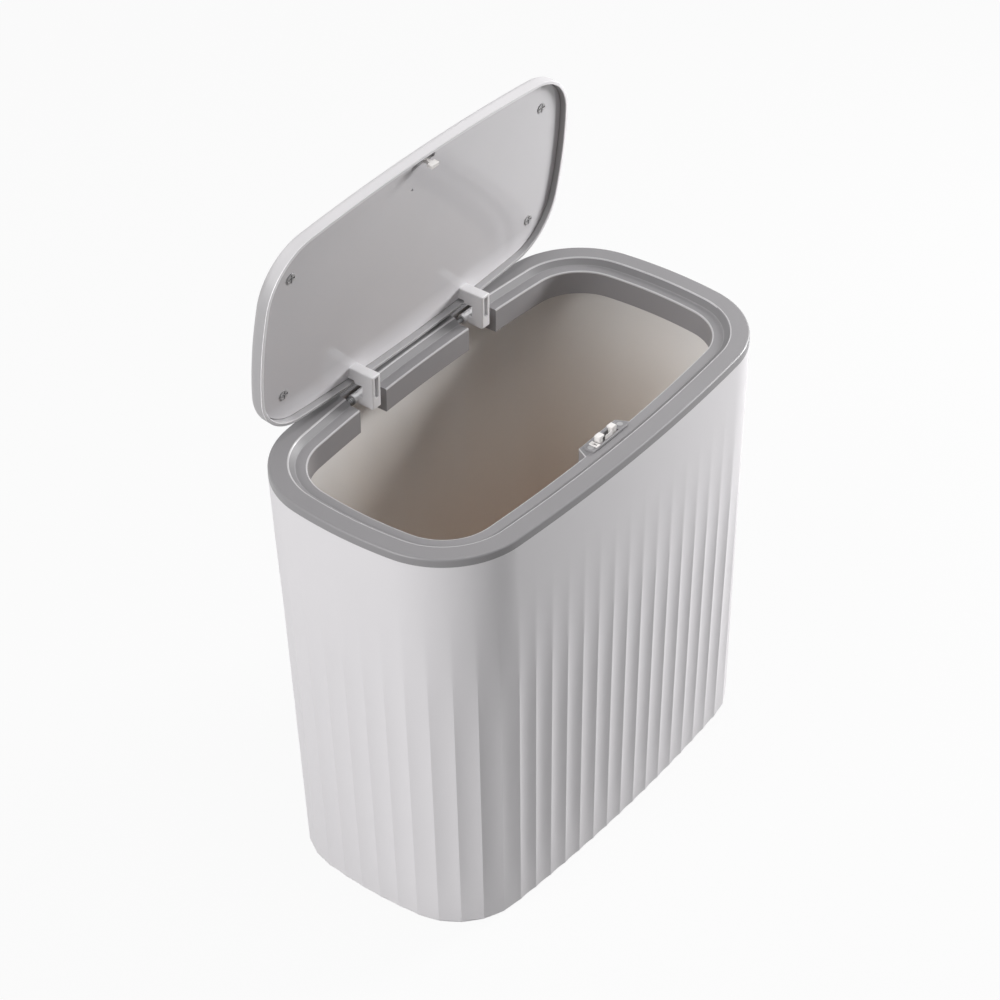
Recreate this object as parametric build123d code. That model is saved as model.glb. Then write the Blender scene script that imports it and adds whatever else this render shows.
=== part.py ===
from build123d import *
import math
import os

# Wall-mounted trash can with a sprung touch-latch lid, shown open.
# Millimetres, +X along the long side, -Y towards the user, +Y towards the wall, +Z up.
# Pieces are drawn in the rim frame: z = 0 on top of the trim ring, y = 0 on its centre line.
# They are written out with the origin at the centre of the wall plate's holes, on the wall.

# Outline shared by the rim and the bin, made of eight tangent arcs
RIM_LENGTH = 300.0
RIM_WIDTH = 165.0
RIM_CORNER_RADIUS = 52.5
LONG_SIDE_RADIUS = 1160.0
SHORT_SIDE_RADIUS = 265.0
BASE_LENGTH = 283.4
BASE_WIDTH = 150.4
BASE_CORNER_RADIUS = 45.0
BASE_SHIFT_Y = -5.1
TOTAL_HEIGHT = 265.0

# Bin shell
BIN_WALL = 2.4
BIN_FLOOR = 2.6
FLUTE_COUNT = 60
FLUTE_DEPTH = 1.0
BASE_BEVEL_HEIGHT = 4.0
BASE_BEVEL_INSET = 3.0

# Trim ring section, insets measured from its outer face
RING_FACE_HEIGHT = 5.1
RING_EDGE_RADIUS = 1.2
FLANGE_THICKNESS = 2.0
FLANGE_INNER_INSET = 11.0
SEAT_WALL_INSET = 14.5
SEAT_DEPTH = 3.3
SEAT_THICKNESS = 1.8
SKIRT_INSET = 21.0
SKIRT_THICKNESS = 2.0
SKIRT_BOTTOM = 18.5
LIP_CLEARANCE = 0.3
LIP_THICKNESS = 2.0
LIP_BOTTOM = 10.0

# Lid
LID_ANGLE = 83.3
LID_END_INSET = 19.0
LID_SIDE_INSET = 17.2
LID_LENGTH = RIM_LENGTH - 2 * LID_END_INSET
LID_DEPTH = RIM_WIDTH - 2 * LID_SIDE_INSET
LID_CORNER_RADIUS = 36.0
LID_LONG_RADIUS = 1140.0
LID_SHORT_RADIUS = 246.0
COVER_WALL = 2.2
COVER_SKIN = 1.8
COVER_EDGE_RADIUS = 4.0
COVER_SIDE_TOP = 9.0
COVER_CROWN = 2.5
COVER_CROWN_INSET = 26.0
RIM_STEP = 3.5
LINER_THICKNESS = 1.8
LINER_CLEARANCE = 0.3
LINER_EDGE_RADIUS = 0.6

# Hinge
PIVOT_INSET = 11.5
PIVOT_Y = RIM_WIDTH / 2 - PIVOT_INSET
PIVOT_Z = -5.0
EDGE_BEHIND_PIVOT = 1.1
LID_OPEN_EDGE_Y = PIVOT_Y + EDGE_BEHIND_PIVOT
LID_OPEN_EDGE_Z = 2.1
HINGE_SPACING = 97.0
NOTCH_WIDTH = 23.6
NOTCH_BEHIND_PIVOT = 3.4
NOTCH_BACK_Y = PIVOT_Y + NOTCH_BEHIND_PIVOT
BRACKET_THICKNESS = 2.2
BRACKET_BEHIND_PIVOT = 7.0
BRACKET_BACK_Y = PIVOT_Y + BRACKET_BEHIND_PIVOT
PIN_RADIUS = 1.5
PIN_SEAT_CLEARANCE = 0.02
PIN_RUNNING_CLEARANCE = 0.06
BOSS_RADIUS = 2.9
BOSS_WIDTH = 11.0
ARM_WIDTH = 7.0
ARM_AHEAD_OF_PIVOT = 13.3
ARM_FRONT_Y = PIVOT_Y - ARM_AHEAD_OF_PIVOT
ARM_TOP_Z = 14.0
ARM_LEG_DEPTH = 7.7
ARM_REACH_UNDER_Z = 4.9
ARM_ROOT_UNDER_Z = 6.7
ARM_RIM_GAP = 0.9
ARM_FOOT_Z = -7.6
ARM_SLOT_WIDTH = 3.0
ARM_SLOT_HEIGHT = 13.0
ARM_SLOT_DEPTH = 3.5
ARM_EDGE_RADIUS = 1.0
COIL_WIRE = 0.8
COIL_RADIUS = 2.3
COIL_TURNS = 4
COIL_PITCH = 1.25
COIL_LEG = 5.0
COIL_BEND = 0.04

# Liner screws
SCREW_END_INSET = 24.0
SCREW_SIDE_INSET = 26.3
SCREW_X = LID_LENGTH / 2 - SCREW_END_INSET
SCREW_SPREAD_Y = LID_DEPTH - 2 * SCREW_SIDE_INSET
SCREW_HEAD_RADIUS = 3.2
SCREW_HEAD_HEIGHT = 1.4
SCREW_SHANK_RADIUS = 1.4
SCREW_LENGTH = 6.4
SCREW_PROUD = 0.5
RECESS_ARM = 3.6
RECESS_WIDTH = 0.9
RECESS_DEPTH = 0.9
POST_RADIUS = 3.4

# Touch latch in the front pocket
LATCH_INSET = 22.2
LATCH_Y = LATCH_INSET - RIM_WIDTH / 2
LATCH_TRAVEL = 4.0
JAW_CLOSE_ANGLE = 8.0
POCKET_INNER_HALF = 16.5
POCKET_OUTER_HALF = 20.5
POCKET_BACK = 5.7
POCKET_FACE_Y = LATCH_Y + POCKET_BACK
POCKET_WALL = 1.6
POCKET_BOTTOM = 24.4
HOUSING_HALF_X = 11.0
HOUSING_BACK = 3.1
HOUSING_FRONT = 3.6
HOUSING_WALL_X = 2.2
HOUSING_WALL_BACK = 1.0
HOUSING_WALL_FRONT = 1.1
HOUSING_FLOOR = 1.2
FLANGE_HALF_X = 15.5
FLANGE_PLATE = 1.5
LATCH_SCREW_X = 13.2
LATCH_SCREW_HEAD = 1.7
LATCH_SCREW_SHANK = 0.9
LATCH_SCREW_LENGTH = 7.0
LATCH_FIT = 0.2
SLIDER_HALF_X = 8.6
SLIDER_TOP = -8.8
SLIDER_BOTTOM = -13.8
SPRING_SOLID_LENGTH = 3.0
HOUSING_BOTTOM = LATCH_TRAVEL - SLIDER_BOTTOM + SPRING_SOLID_LENGTH + HOUSING_FLOOR
JAW_PIVOT_X = 6.3
JAW_PIVOT_Z = -11.5
JAW_INNER_X = 4.8
JAW_WIDTH = 3.0
JAW_FOOT_DEPTH = 2.4
JAW_DEPTH = 3.7
JAW_SHOULDER_Z = -8.2
JAW_TOP_Z = 2.0
JAW_HOOK = 1.4
JAW_HOOK_HEIGHT = 1.5
JAW_SLOT_CLEARANCE = 0.3
JAW_PIN_RADIUS = 0.6
JAW_PIN_CLEARANCE = 0.05
GUARD_HALF_X = 2.6
GUARD_THICKNESS = 0.9
GUARD_TOP_Z = -2.2
SPRING_WIRE = 0.5
SPRING_RADIUS = 1.6
SPRING_TURNS = 7
SPRING_POCKET_RADIUS = 2.2
SPRING_POCKET_TOP = -10.2
CAM_PIN_RADIUS = 0.5
CAM_PIN_DROP = 1.0
CAM_PIN_Z = SLIDER_BOTTOM - CAM_PIN_DROP

# Striker under the lid's front edge
STRIKER_REACH = 8.0
STRIKER_DEPTH = 2.0
STRIKER_NECK_HALF = 1.1
STRIKER_HEAD_HALF = 3.0
STRIKER_HOOK_GAP = 0.15
STRIKER_BASE_HALF = 6.4
STRIKER_BASE = 0.9
STRIKER_SEAT = 2.9
SEAT_BLOCK_HALF_X = 7.4
OPENING_HALF_X = 9.6
OPENING_HALF_Y = 2.6
STRIKER_SCREW_X = 4.8
STRIKER_SCREW_SHANK = 0.7
STRIKER_SCREW_HEAD = 1.1
STRIKER_SCREW_HEAD_HEIGHT = 0.5
STRIKER_SCREW_DEPTH = 1.8

# Wall plate and the hanger on the back of the bin
WALL_GAP = 11.5
PLATE_WIDTH = 110.0
PLATE_HEIGHT = 100.0
PLATE_TOP_Z = -20.0
PLATE_THICKNESS = 4.0
PLATE_CORNER_RADIUS = 8.0
HOLE_RADIUS = 2.25
HOLE_SPACING_X = 70.0
HOLE_SPACING_Z = 60.0
HOOK_SPACING = 50.0
HOOK_WIDTH = 16.0
HOOK_TOP_Z = -34.0
HOOK_BOTTOM_Z = -54.0
HOOK_LIP = 2.6
HOOK_FLOOR = 4.0
HANGER_HALF_X = 44.0
HANGER_WEB = 3.0
HANGER_LIP = 2.5
HANGER_DROP = 12.0
HANGER_PLAY = 0.5
HANGER_WALL_GAP = 1.4
BUFFER_RADIUS = 7.0
BUFFER_Z = -108.0
BUFFER_SPACING = 60.0
BUFFER_GAP = 0.3

# Derived places
WALL_Y = RIM_WIDTH / 2 + WALL_GAP
PLATE_CENTRE_Z = PLATE_TOP_Z - PLATE_HEIGHT / 2
PLATE_FRONT_Y = WALL_Y - PLATE_THICKNESS
ORIGIN_SHIFT = Location((0, -WALL_Y, -PLATE_CENTRE_Z))
LID_HALF_Y = LID_DEPTH / 2
OVERLAP = 0.5
OVERRUN = 1.0
ROUND_STEPS = 6


def corner_centre(half_x, half_y, corner, long_r, short_r):
    """Centre of the corner arc that is tangent to the long and the short side."""
    long_centre = (0.0, half_y - long_r)
    short_centre = (half_x - short_r, 0.0)
    span_x = short_centre[0] - long_centre[0]
    span_y = short_centre[1] - long_centre[1]
    span = math.hypot(span_x, span_y)
    reach_long = long_r - corner
    reach_short = short_r - corner
    along = (reach_long**2 - reach_short**2 + span**2) / (2 * span)
    across = math.sqrt(reach_long**2 - along**2)
    x = long_centre[0] + (span_x * along + span_y * across) / span
    y = long_centre[1] + (span_y * along - span_x * across) / span
    return x, y


def outline_arcs(half_x, half_y, corner, long_r, short_r):
    """The closed outline as (centre x, centre y, radius, start angle, end angle), anticlockwise."""
    cx, cy = corner_centre(half_x, half_y, corner, long_r, short_r)
    long_cy = half_y - long_r
    short_cx = half_x - short_r
    high = math.atan2(cy - long_cy, cx)
    low = math.atan2(cy, cx - short_cx)
    turn = math.pi
    return [
        (short_cx, 0.0, short_r, -low, low),
        (cx, cy, corner, low, high),
        (0.0, long_cy, long_r, high, turn - high),
        (-cx, cy, corner, turn - high, turn - low),
        (-short_cx, 0.0, short_r, turn - low, turn + low),
        (-cx, -cy, corner, turn + low, turn + high),
        (0.0, -long_cy, long_r, turn + high, 2 * turn - high),
        (cx, -cy, corner, 2 * turn - high, 2 * turn - low),
    ]


def arc_point(arc, share):
    cx, cy, radius, start, end = arc
    angle = start + (end - start) * share
    return cx + radius * math.cos(angle), cy + radius * math.sin(angle)


def ring_outline(inset, z):
    """The rim's outline, drawn in by an inset."""
    arcs = outline_arcs(
        RIM_LENGTH / 2 - inset,
        RIM_WIDTH / 2 - inset,
        RIM_CORNER_RADIUS - inset,
        LONG_SIDE_RADIUS - inset,
        SHORT_SIDE_RADIUS - inset,
    )
    return arcs, 0.0, z


def base_outline(inset, z):
    """The bin's outline at its foot, drawn in by an inset."""
    arcs = outline_arcs(
        BASE_LENGTH / 2 - inset,
        BASE_WIDTH / 2 - inset,
        BASE_CORNER_RADIUS - inset,
        LONG_SIDE_RADIUS - inset,
        SHORT_SIDE_RADIUS - inset,
    )
    return arcs, BASE_SHIFT_Y, z


def lid_outline(inset, z):
    """The lid's outline about its own centre, drawn in by an inset."""
    arcs = outline_arcs(
        LID_LENGTH / 2 - inset,
        LID_DEPTH / 2 - inset,
        LID_CORNER_RADIUS - inset,
        LID_LONG_RADIUS - inset,
        LID_SHORT_RADIUS - inset,
    )
    return arcs, 0.0, z


def outline_face(outline):
    arcs, shift_y, z = outline
    edges = []
    for arc in arcs:
        ends = [arc_point(arc, share) for share in (0.0, 0.5, 1.0)]
        edges.append(ThreePointArc(*[(x, y + shift_y, z) for x, y in ends]))
    return Face(Wire(edges))


def slab(outline_at, inset, low, high):
    """A plate with the outline's shape between two heights."""
    return extrude(outline_face(outline_at(inset, low)), amount=high - low, dir=(0, 0, 1))


def walk_outline(outline, count):
    """Points and outward normals at equal steps round the outline."""
    arcs, shift_y, z = outline
    lengths = [radius * (end - start) for _, _, radius, start, end in arcs]
    step = sum(lengths) / count
    found = []
    for index in range(count):
        distance = step * index
        for arc, length in zip(arcs, lengths):
            if distance <= length:
                break
            distance -= length
        angle = arc[3] + (arc[4] - arc[3]) * distance / length
        x, y = arc_point(arc, distance / length)
        found.append((Vector(x, y + shift_y, z), Vector(math.cos(angle), math.sin(angle), 0)))
    return found


def fluted_face(outline, depth):
    """The outline cut into shallow scallops of one depth, one for each flute."""
    stops = walk_outline(outline, 2 * FLUTE_COUNT)
    edges = []
    for index in range(FLUTE_COUNT):
        start = stops[2 * index][0]
        middle = stops[2 * index + 1][0] - stops[2 * index + 1][1] * depth
        end = stops[(2 * index + 2) % len(stops)][0]
        edges.append(ThreePointArc(start, middle, end))
    return Face(Wire(edges))


def box(x, y, z):
    """A block between two limits on each axis."""
    size = (x[1] - x[0], y[1] - y[0], z[1] - z[0])
    middle = ((x[0] + x[1]) / 2, (y[0] + y[1]) / 2, (z[0] + z[1]) / 2)
    return Pos(*middle) * Box(*size)


def rod_x(radius, x, y, z):
    """A round bar along X between two limits."""
    middle = Pos((x[0] + x[1]) / 2, y, z)
    return middle * Rot(0, 90, 0) * Cylinder(radius, x[1] - x[0])


def rod_y(radius, x, y, z):
    """A round bar along Y between two limits."""
    middle = Pos(x, (y[0] + y[1]) / 2, z)
    return middle * Rot(90, 0, 0) * Cylinder(radius, y[1] - y[0])


def rod_z(radius, x, y, z):
    """A round bar along Z between two limits."""
    return Pos(x, y, (z[0] + z[1]) / 2) * Cylinder(radius, z[1] - z[0])


def coil(wire, radius, pitch, turns):
    """An open helical spring along +Z from z = 0, measured to its wire's centre line."""
    path = Helix(pitch=pitch, height=pitch * turns, radius=radius)
    profile = Plane(origin=path @ 0, z_dir=path % 0) * Circle(wire / 2)
    return sweep(profile, path=path, is_frenet=True)


# Bin

def back_face_y(z):
    """The bin's back face on its centre line."""
    share = (-RING_FACE_HEIGHT - z) / (TOTAL_HEIGHT - RING_FACE_HEIGHT - BASE_BEVEL_HEIGHT)
    top = RIM_WIDTH / 2
    bottom = BASE_WIDTH / 2 + BASE_SHIFT_Y
    return top + (bottom - top) * share


def make_bin_body():
    """Fluted, tapered shell with a channel across its back that hangs over the wall hooks."""
    top = -RING_FACE_HEIGHT
    bevel = -TOTAL_HEIGHT + BASE_BEVEL_HEIGHT
    outside = Solid.make_loft(
        [
            fluted_face(ring_outline(0, top), 0.0).outer_wire(),
            fluted_face(base_outline(0, bevel), FLUTE_DEPTH).outer_wire(),
            fluted_face(base_outline(BASE_BEVEL_INSET, -TOTAL_HEIGHT), FLUTE_DEPTH).outer_wire(),
        ],
        True,
    )
    inside = Solid.make_loft(
        [
            outline_face(ring_outline(BIN_WALL, top)).outer_wire(),
            outline_face(base_outline(BIN_WALL, bevel)).outer_wire(),
        ],
        True,
    )
    floor = box((-RIM_LENGTH, RIM_LENGTH), (-RIM_WIDTH, RIM_WIDTH), (-TOTAL_HEIGHT, bevel + BIN_FLOOR))
    shell = outside - (inside - floor)
    hanger_top = HOOK_TOP_Z + HANGER_WEB
    hanger_low = HOOK_TOP_Z - HANGER_DROP
    lip_back = PLATE_FRONT_Y - HANGER_WALL_GAP
    sag = HANGER_HALF_X**2 / (2 * LONG_SIDE_RADIUS)
    root_y = back_face_y((hanger_top + hanger_low) / 2) - sag - BIN_WALL / 3
    across = (-HANGER_HALF_X, HANGER_HALF_X)
    hanger = box(across, (root_y, lip_back), (hanger_low, hanger_top))
    inner = (-HANGER_HALF_X + HANGER_WEB, HANGER_HALF_X - HANGER_WEB)
    hanger -= box(inner, (root_y - OVERRUN, lip_back - HANGER_LIP), (hanger_low - OVERRUN, HOOK_TOP_Z))
    return shell + hanger


# Trim ring

def make_trim_ring():
    """Ring that holds the bag: flange, lid seat, skirt, hinge brackets and the latch pocket."""
    low = -RING_FACE_HEIGHT
    seat = -SEAT_DEPTH
    rim = slab(ring_outline, 0, low, 0)
    top_edges = rim.edges().group_by(Axis.Z)[-1]
    rim = fillet(top_edges, RING_EDGE_RADIUS)
    rim -= slab(ring_outline, SKIRT_INSET, low - OVERLAP, OVERLAP)
    slope = Solid.make_loft(
        [
            outline_face(ring_outline(SEAT_WALL_INSET, seat)).outer_wire(),
            outline_face(ring_outline(FLANGE_INNER_INSET, 0)).outer_wire(),
        ],
        True,
    )
    rim -= slope
    hollow_outer = BIN_WALL + LIP_CLEARANCE + LIP_THICKNESS
    hollow_inner = FLANGE_INNER_INSET + SEAT_THICKNESS
    hollow = slab(ring_outline, hollow_outer, low - OVERLAP, -FLANGE_THICKNESS)
    hollow -= slab(ring_outline, hollow_inner, low - OVERLAP, -FLANGE_THICKNESS)
    rim -= hollow
    lip = slab(ring_outline, BIN_WALL + LIP_CLEARANCE, -LIP_BOTTOM, low)
    lip -= slab(ring_outline, hollow_outer, -LIP_BOTTOM - OVERLAP, low + OVERLAP)
    skirt = slab(ring_outline, SKIRT_INSET - SKIRT_THICKNESS, -SKIRT_BOTTOM, low)
    skirt -= slab(ring_outline, SKIRT_INSET, -SKIRT_BOTTOM - OVERLAP, low + OVERLAP)
    ring = rim + lip + skirt
    ring += latch_pocket()
    ring -= latch_pocket_hollow()
    for side in (-1, 1):
        ring = cut_hinge_notch(ring, side * HINGE_SPACING / 2)
    return ring


def pocket_prism(grow, bottom, top):
    """Trapezoid block on the inside of the front skirt."""
    back = -(RIM_WIDTH / 2 - SKIRT_INSET) - SKIRT_THICKNESS
    inner = POCKET_INNER_HALF - grow
    outer = POCKET_OUTER_HALF - grow
    face = POCKET_FACE_Y - grow
    shape = Polyline((-outer, back), (outer, back), (inner, face), (-inner, face), close=True)
    return extrude(Pos(0, 0, bottom) * make_face(shape), amount=top - bottom, dir=(0, 0, 1))


def latch_pocket():
    return pocket_prism(0.0, -POCKET_BOTTOM, -SEAT_DEPTH)


def latch_pocket_hollow():
    """Room for the latch housing, open at the top and under the seat."""
    half = HOUSING_HALF_X + LATCH_FIT
    depth = (LATCH_Y - HOUSING_FRONT - LATCH_FIT, LATCH_Y + HOUSING_BACK + LATCH_FIT)
    floor = -POCKET_BOTTOM + POCKET_WALL
    well = box((-half, half), depth, (floor, 0))
    for side in (-1, 1):
        hole_depth = (-SEAT_DEPTH - LATCH_SCREW_LENGTH, 0)
        well += rod_z(LATCH_SCREW_SHANK + PIN_SEAT_CLEARANCE, side * LATCH_SCREW_X, LATCH_Y, hole_depth)
    return well


def cut_hinge_notch(ring, x):
    """Notch for a hinge arm, with a bracket on either side that carries the pin."""
    half = NOTCH_WIDTH / 2
    front = RIM_WIDTH / 2 - SKIRT_INSET
    under_flange = RIM_WIDTH / 2 - FLANGE_INNER_INSET - SEAT_THICKNESS
    for side in (-1, 1):
        near = x + side * half
        far = near + side * BRACKET_THICKNESS
        span = (min(near, far), max(near, far))
        rear = box(span, (under_flange, BRACKET_BACK_Y), (-LIP_BOTTOM, -FLANGE_THICKNESS))
        fore = box(span, (front + OVERLAP, NOTCH_BACK_Y), (-SKIRT_BOTTOM, -SEAT_DEPTH - OVERLAP))
        ring += rear + fore
    depth = (front - OVERLAP - SKIRT_THICKNESS, NOTCH_BACK_Y)
    ring -= box((x - half, x + half), depth, (-SKIRT_BOTTOM - OVERRUN, OVERRUN))
    reach = half + BRACKET_THICKNESS
    ring -= rod_x(PIN_RADIUS + PIN_SEAT_CLEARANCE, (x - reach, x + reach), PIVOT_Y, PIVOT_Z)
    return ring


def make_hinge_pin(x):
    reach = NOTCH_WIDTH / 2 + BRACKET_THICKNESS
    return rod_x(PIN_RADIUS, (x - reach, x + reach), PIVOT_Y, PIVOT_Z)


def make_hinge_spring(x, side):
    """Torsion spring on the pin, with one straight leg at each end."""
    spring = coil(COIL_WIRE, COIL_RADIUS, COIL_PITCH, COIL_TURNS)
    height = COIL_PITCH * COIL_TURNS
    for z, direction in ((0.0, -1), (height, 1)):
        leg = Pos(COIL_RADIUS, direction * COIL_LEG / 2, z) * Rot(90, 0, 0)
        spring += leg * Cylinder(COIL_WIRE / 2, COIL_LEG)
        spring += Pos(COIL_RADIUS, 0, z) * Sphere(COIL_WIRE / 2 + COIL_BEND)
    room = (NOTCH_WIDTH - BOSS_WIDTH) / 2
    start = BOSS_WIDTH / 2 + (room - height) / 2
    placed = Pos(start, 0, 0) * Rot(0, 90, 0) * spring
    if side < 0:
        placed = Rot(0, 0, 180) * placed
    return Pos(x, PIVOT_Y, PIVOT_Z) * placed


# Touch latch

def make_latch_housing():
    """Box with a top flange, screwed into the front pocket."""
    front = LATCH_Y - HOUSING_FRONT
    back = LATCH_Y + HOUSING_BACK
    seat = -SEAT_DEPTH
    body = box((-HOUSING_HALF_X, HOUSING_HALF_X), (front, back), (-HOUSING_BOTTOM, seat))
    body += box((-FLANGE_HALF_X, FLANGE_HALF_X), (front, back), (seat, seat + FLANGE_PLATE))
    inner = HOUSING_HALF_X - HOUSING_WALL_X
    depth = (front + HOUSING_WALL_FRONT, back - HOUSING_WALL_BACK)
    body -= box((-inner, inner), depth, (-HOUSING_BOTTOM + HOUSING_FLOOR, 0))
    body -= rod_y(CAM_PIN_RADIUS + PIN_SEAT_CLEARANCE, 0, (front - OVERRUN, depth[0] + OVERRUN), CAM_PIN_Z)
    for side in (-1, 1):
        x = side * LATCH_SCREW_X
        body -= rod_z(LATCH_SCREW_SHANK + PIN_RUNNING_CLEARANCE, x, LATCH_Y, (seat - OVERRUN, 0))
        sink = (seat + FLANGE_PLATE / 2, 0)
        body -= rod_z(LATCH_SCREW_HEAD + PIN_RUNNING_CLEARANCE, x, LATCH_Y, sink)
    return body


def make_latch_screws():
    seat = -SEAT_DEPTH
    screws = []
    for side in (-1, 1):
        x = side * LATCH_SCREW_X
        head = rod_z(LATCH_SCREW_HEAD, x, LATCH_Y, (seat + FLANGE_PLATE / 2, seat + FLANGE_PLATE))
        length = (seat - LATCH_SCREW_LENGTH + OVERRUN, seat + FLANGE_PLATE / 2)
        shank = rod_z(LATCH_SCREW_SHANK, x, LATCH_Y, length)
        screws.append(head + shank)
    return screws


def jaw_pin_span():
    half = (JAW_FOOT_DEPTH + 2 * JAW_SLOT_CLEARANCE) / 2 + OVERLAP
    return LATCH_Y - half, LATCH_Y + half


def slider_depth():
    front = LATCH_Y - HOUSING_FRONT + HOUSING_WALL_FRONT + LATCH_FIT
    back = LATCH_Y + HOUSING_BACK - HOUSING_WALL_BACK - LATCH_FIT
    return front, back


def make_latch_slider():
    """Carrier of the two jaws, with a guard plate in front and a spring pocket below."""
    depth = slider_depth()
    block = box((-SLIDER_HALF_X, SLIDER_HALF_X), depth, (SLIDER_BOTTOM, SLIDER_TOP))
    guard = (depth[0], depth[0] + GUARD_THICKNESS)
    block += box((-GUARD_HALF_X, GUARD_HALF_X), guard, (SLIDER_TOP, GUARD_TOP_Z))
    slot_half = JAW_FOOT_DEPTH / 2 + JAW_SLOT_CLEARANCE
    slot_y = (LATCH_Y - slot_half, LATCH_Y + slot_half)
    slot_z = (JAW_PIVOT_Z - JAW_WIDTH / 2 - JAW_SLOT_CLEARANCE, 0)
    for side in (-1, 1):
        inner = side * (JAW_INNER_X - OVERRUN)
        outer = side * (SLIDER_HALF_X + OVERRUN)
        block -= box((min(inner, outer), max(inner, outer)), slot_y, slot_z)
        block -= rod_y(JAW_PIN_RADIUS, side * JAW_PIVOT_X, jaw_pin_span(), JAW_PIVOT_Z)
    block -= rod_z(SPRING_POCKET_RADIUS, 0, LATCH_Y, (SLIDER_BOTTOM - OVERRUN, SPRING_POCKET_TOP))
    return block


def make_latch_jaw(side):
    """Hooked jaw: round foot on its pin, wider finger above, hook turned in at the top."""
    x = side * JAW_PIVOT_X
    foot_y = (LATCH_Y - JAW_FOOT_DEPTH / 2, LATCH_Y + JAW_FOOT_DEPTH / 2)
    finger_y = (LATCH_Y - JAW_DEPTH / 2, LATCH_Y + JAW_DEPTH / 2)
    inner = side * JAW_INNER_X
    outer = side * (JAW_INNER_X + JAW_WIDTH)
    across = (min(inner, outer), max(inner, outer))
    jaw = rod_y(JAW_WIDTH / 2, x, foot_y, JAW_PIVOT_Z)
    jaw += box(across, foot_y, (JAW_PIVOT_Z, JAW_SHOULDER_Z))
    jaw += box(across, finger_y, (JAW_SHOULDER_Z, JAW_TOP_Z))
    tip = side * (JAW_INNER_X - JAW_HOOK)
    hook = (min(tip, outer), max(tip, outer))
    jaw += box(hook, finger_y, (JAW_TOP_Z - JAW_HOOK_HEIGHT, JAW_TOP_Z))
    jaw -= rod_y(JAW_PIN_RADIUS + JAW_PIN_CLEARANCE, x, jaw_pin_span(), JAW_PIVOT_Z)
    return jaw


def hook_underside():
    """Lowest point of the hooks with the latch pushed home and the jaws closed."""
    angle = math.radians(JAW_CLOSE_ANGLE)
    rise = JAW_TOP_Z - JAW_HOOK_HEIGHT - JAW_PIVOT_Z
    reach = JAW_PIVOT_X - JAW_INNER_X + JAW_HOOK
    return JAW_PIVOT_Z - LATCH_TRAVEL + rise * math.cos(angle) - reach * math.sin(angle)


def make_jaw_pins():
    return [rod_y(JAW_PIN_RADIUS, side * JAW_PIVOT_X, jaw_pin_span(), JAW_PIVOT_Z) for side in (-1, 1)]


def make_latch_spring():
    """Compression spring between the housing floor and the slider."""
    low = -HOUSING_BOTTOM + HOUSING_FLOOR + SPRING_WIRE / 2
    high = SPRING_POCKET_TOP - SPRING_WIRE / 2
    spring = coil(SPRING_WIRE, SPRING_RADIUS, (high - low) / SPRING_TURNS, SPRING_TURNS)
    return Pos(0, LATCH_Y, low) * spring


def make_cam_pin():
    """Fixed pin in the housing wall that the slider's cam track follows."""
    front = LATCH_Y - HOUSING_FRONT
    track = slider_depth()[0]
    return rod_y(CAM_PIN_RADIUS, 0, (front, track - PIN_RUNNING_CLEARANCE), CAM_PIN_Z)


# Lid, drawn closed about its own centre with z = 0 on the lower edge of its rim

def lid_place():
    """From the lid's own frame to the open lid in the rim frame."""
    edge = Location((0, LID_OPEN_EDGE_Y, LID_OPEN_EDGE_Z), (-LID_ANGLE, 0, 0))
    return edge * Pos(0, -LID_HALF_Y, 0)


def closed_to_open(y, z):
    """A place in the rim frame with the lid closed, moved to the lid's own frame."""
    angle = math.radians(LID_ANGLE)
    arm_y = LID_OPEN_EDGE_Y - PIVOT_Y
    arm_z = LID_OPEN_EDGE_Z - PIVOT_Z
    edge_y = PIVOT_Y + arm_y * math.cos(angle) - arm_z * math.sin(angle)
    edge_z = PIVOT_Z + arm_y * math.sin(angle) + arm_z * math.cos(angle)
    return y - edge_y + LID_HALF_Y, z - edge_z


def cover_stack(inset, low, side_top, crown):
    """Closed block of the cover's shape: straight side, rounded edge and a low crown."""
    radius = COVER_EDGE_RADIUS - inset
    levels = [(inset, low)]
    for step in range(ROUND_STEPS + 1):
        angle = math.radians(90.0 * step / ROUND_STEPS)
        levels.append((inset + radius * (1 - math.cos(angle)), side_top - radius + radius * math.sin(angle)))
    levels.append((COVER_CROWN_INSET, side_top + crown))
    wires = [outline_face(lid_outline(draw, z)).outer_wire() for draw, z in levels]
    return Solid.make_loft(wires, True)


def make_lid_cover():
    """Domed outer shell of the lid, with a post for each liner screw."""
    cover = cover_stack(0.0, 0.0, COVER_SIDE_TOP, COVER_CROWN)
    inner_top = COVER_SIDE_TOP - COVER_SKIN
    cover -= cover_stack(COVER_WALL, -OVERLAP, inner_top, COVER_CROWN)
    post_low = RIM_STEP + LINER_THICKNESS
    for x in (-SCREW_X, SCREW_X):
        for y in (-SCREW_SPREAD_Y / 2, SCREW_SPREAD_Y / 2):
            cover += rod_z(POST_RADIUS, x, y, (post_low, inner_top + COVER_CROWN + OVERLAP))
    for x in (-SCREW_X, SCREW_X):
        for y in (-SCREW_SPREAD_Y / 2, SCREW_SPREAD_Y / 2):
            bore = (post_low - OVERRUN, SCREW_LENGTH + RIM_STEP)
            cover -= rod_z(SCREW_SHANK_RADIUS + PIN_SEAT_CLEARANCE, x, y, bore)
    y = striker_centre()
    seat_z = RIM_STEP + STRIKER_SEAT
    half_y = STRIKER_DEPTH / 2
    across = (-SEAT_BLOCK_HALF_X, SEAT_BLOCK_HALF_X)
    cover += box(across, (y - half_y, y + half_y), (seat_z, inner_top + OVERLAP))
    for side in (-1, 1):
        bore = (seat_z - OVERRUN, seat_z + STRIKER_SCREW_DEPTH)
        cover -= rod_z(STRIKER_SCREW_SHANK + PIN_SEAT_CLEARANCE, side * STRIKER_SCREW_X, y, bore)
    return cover


def striker_centre():
    return closed_to_open(LATCH_Y, 0.0)[0]


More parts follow.
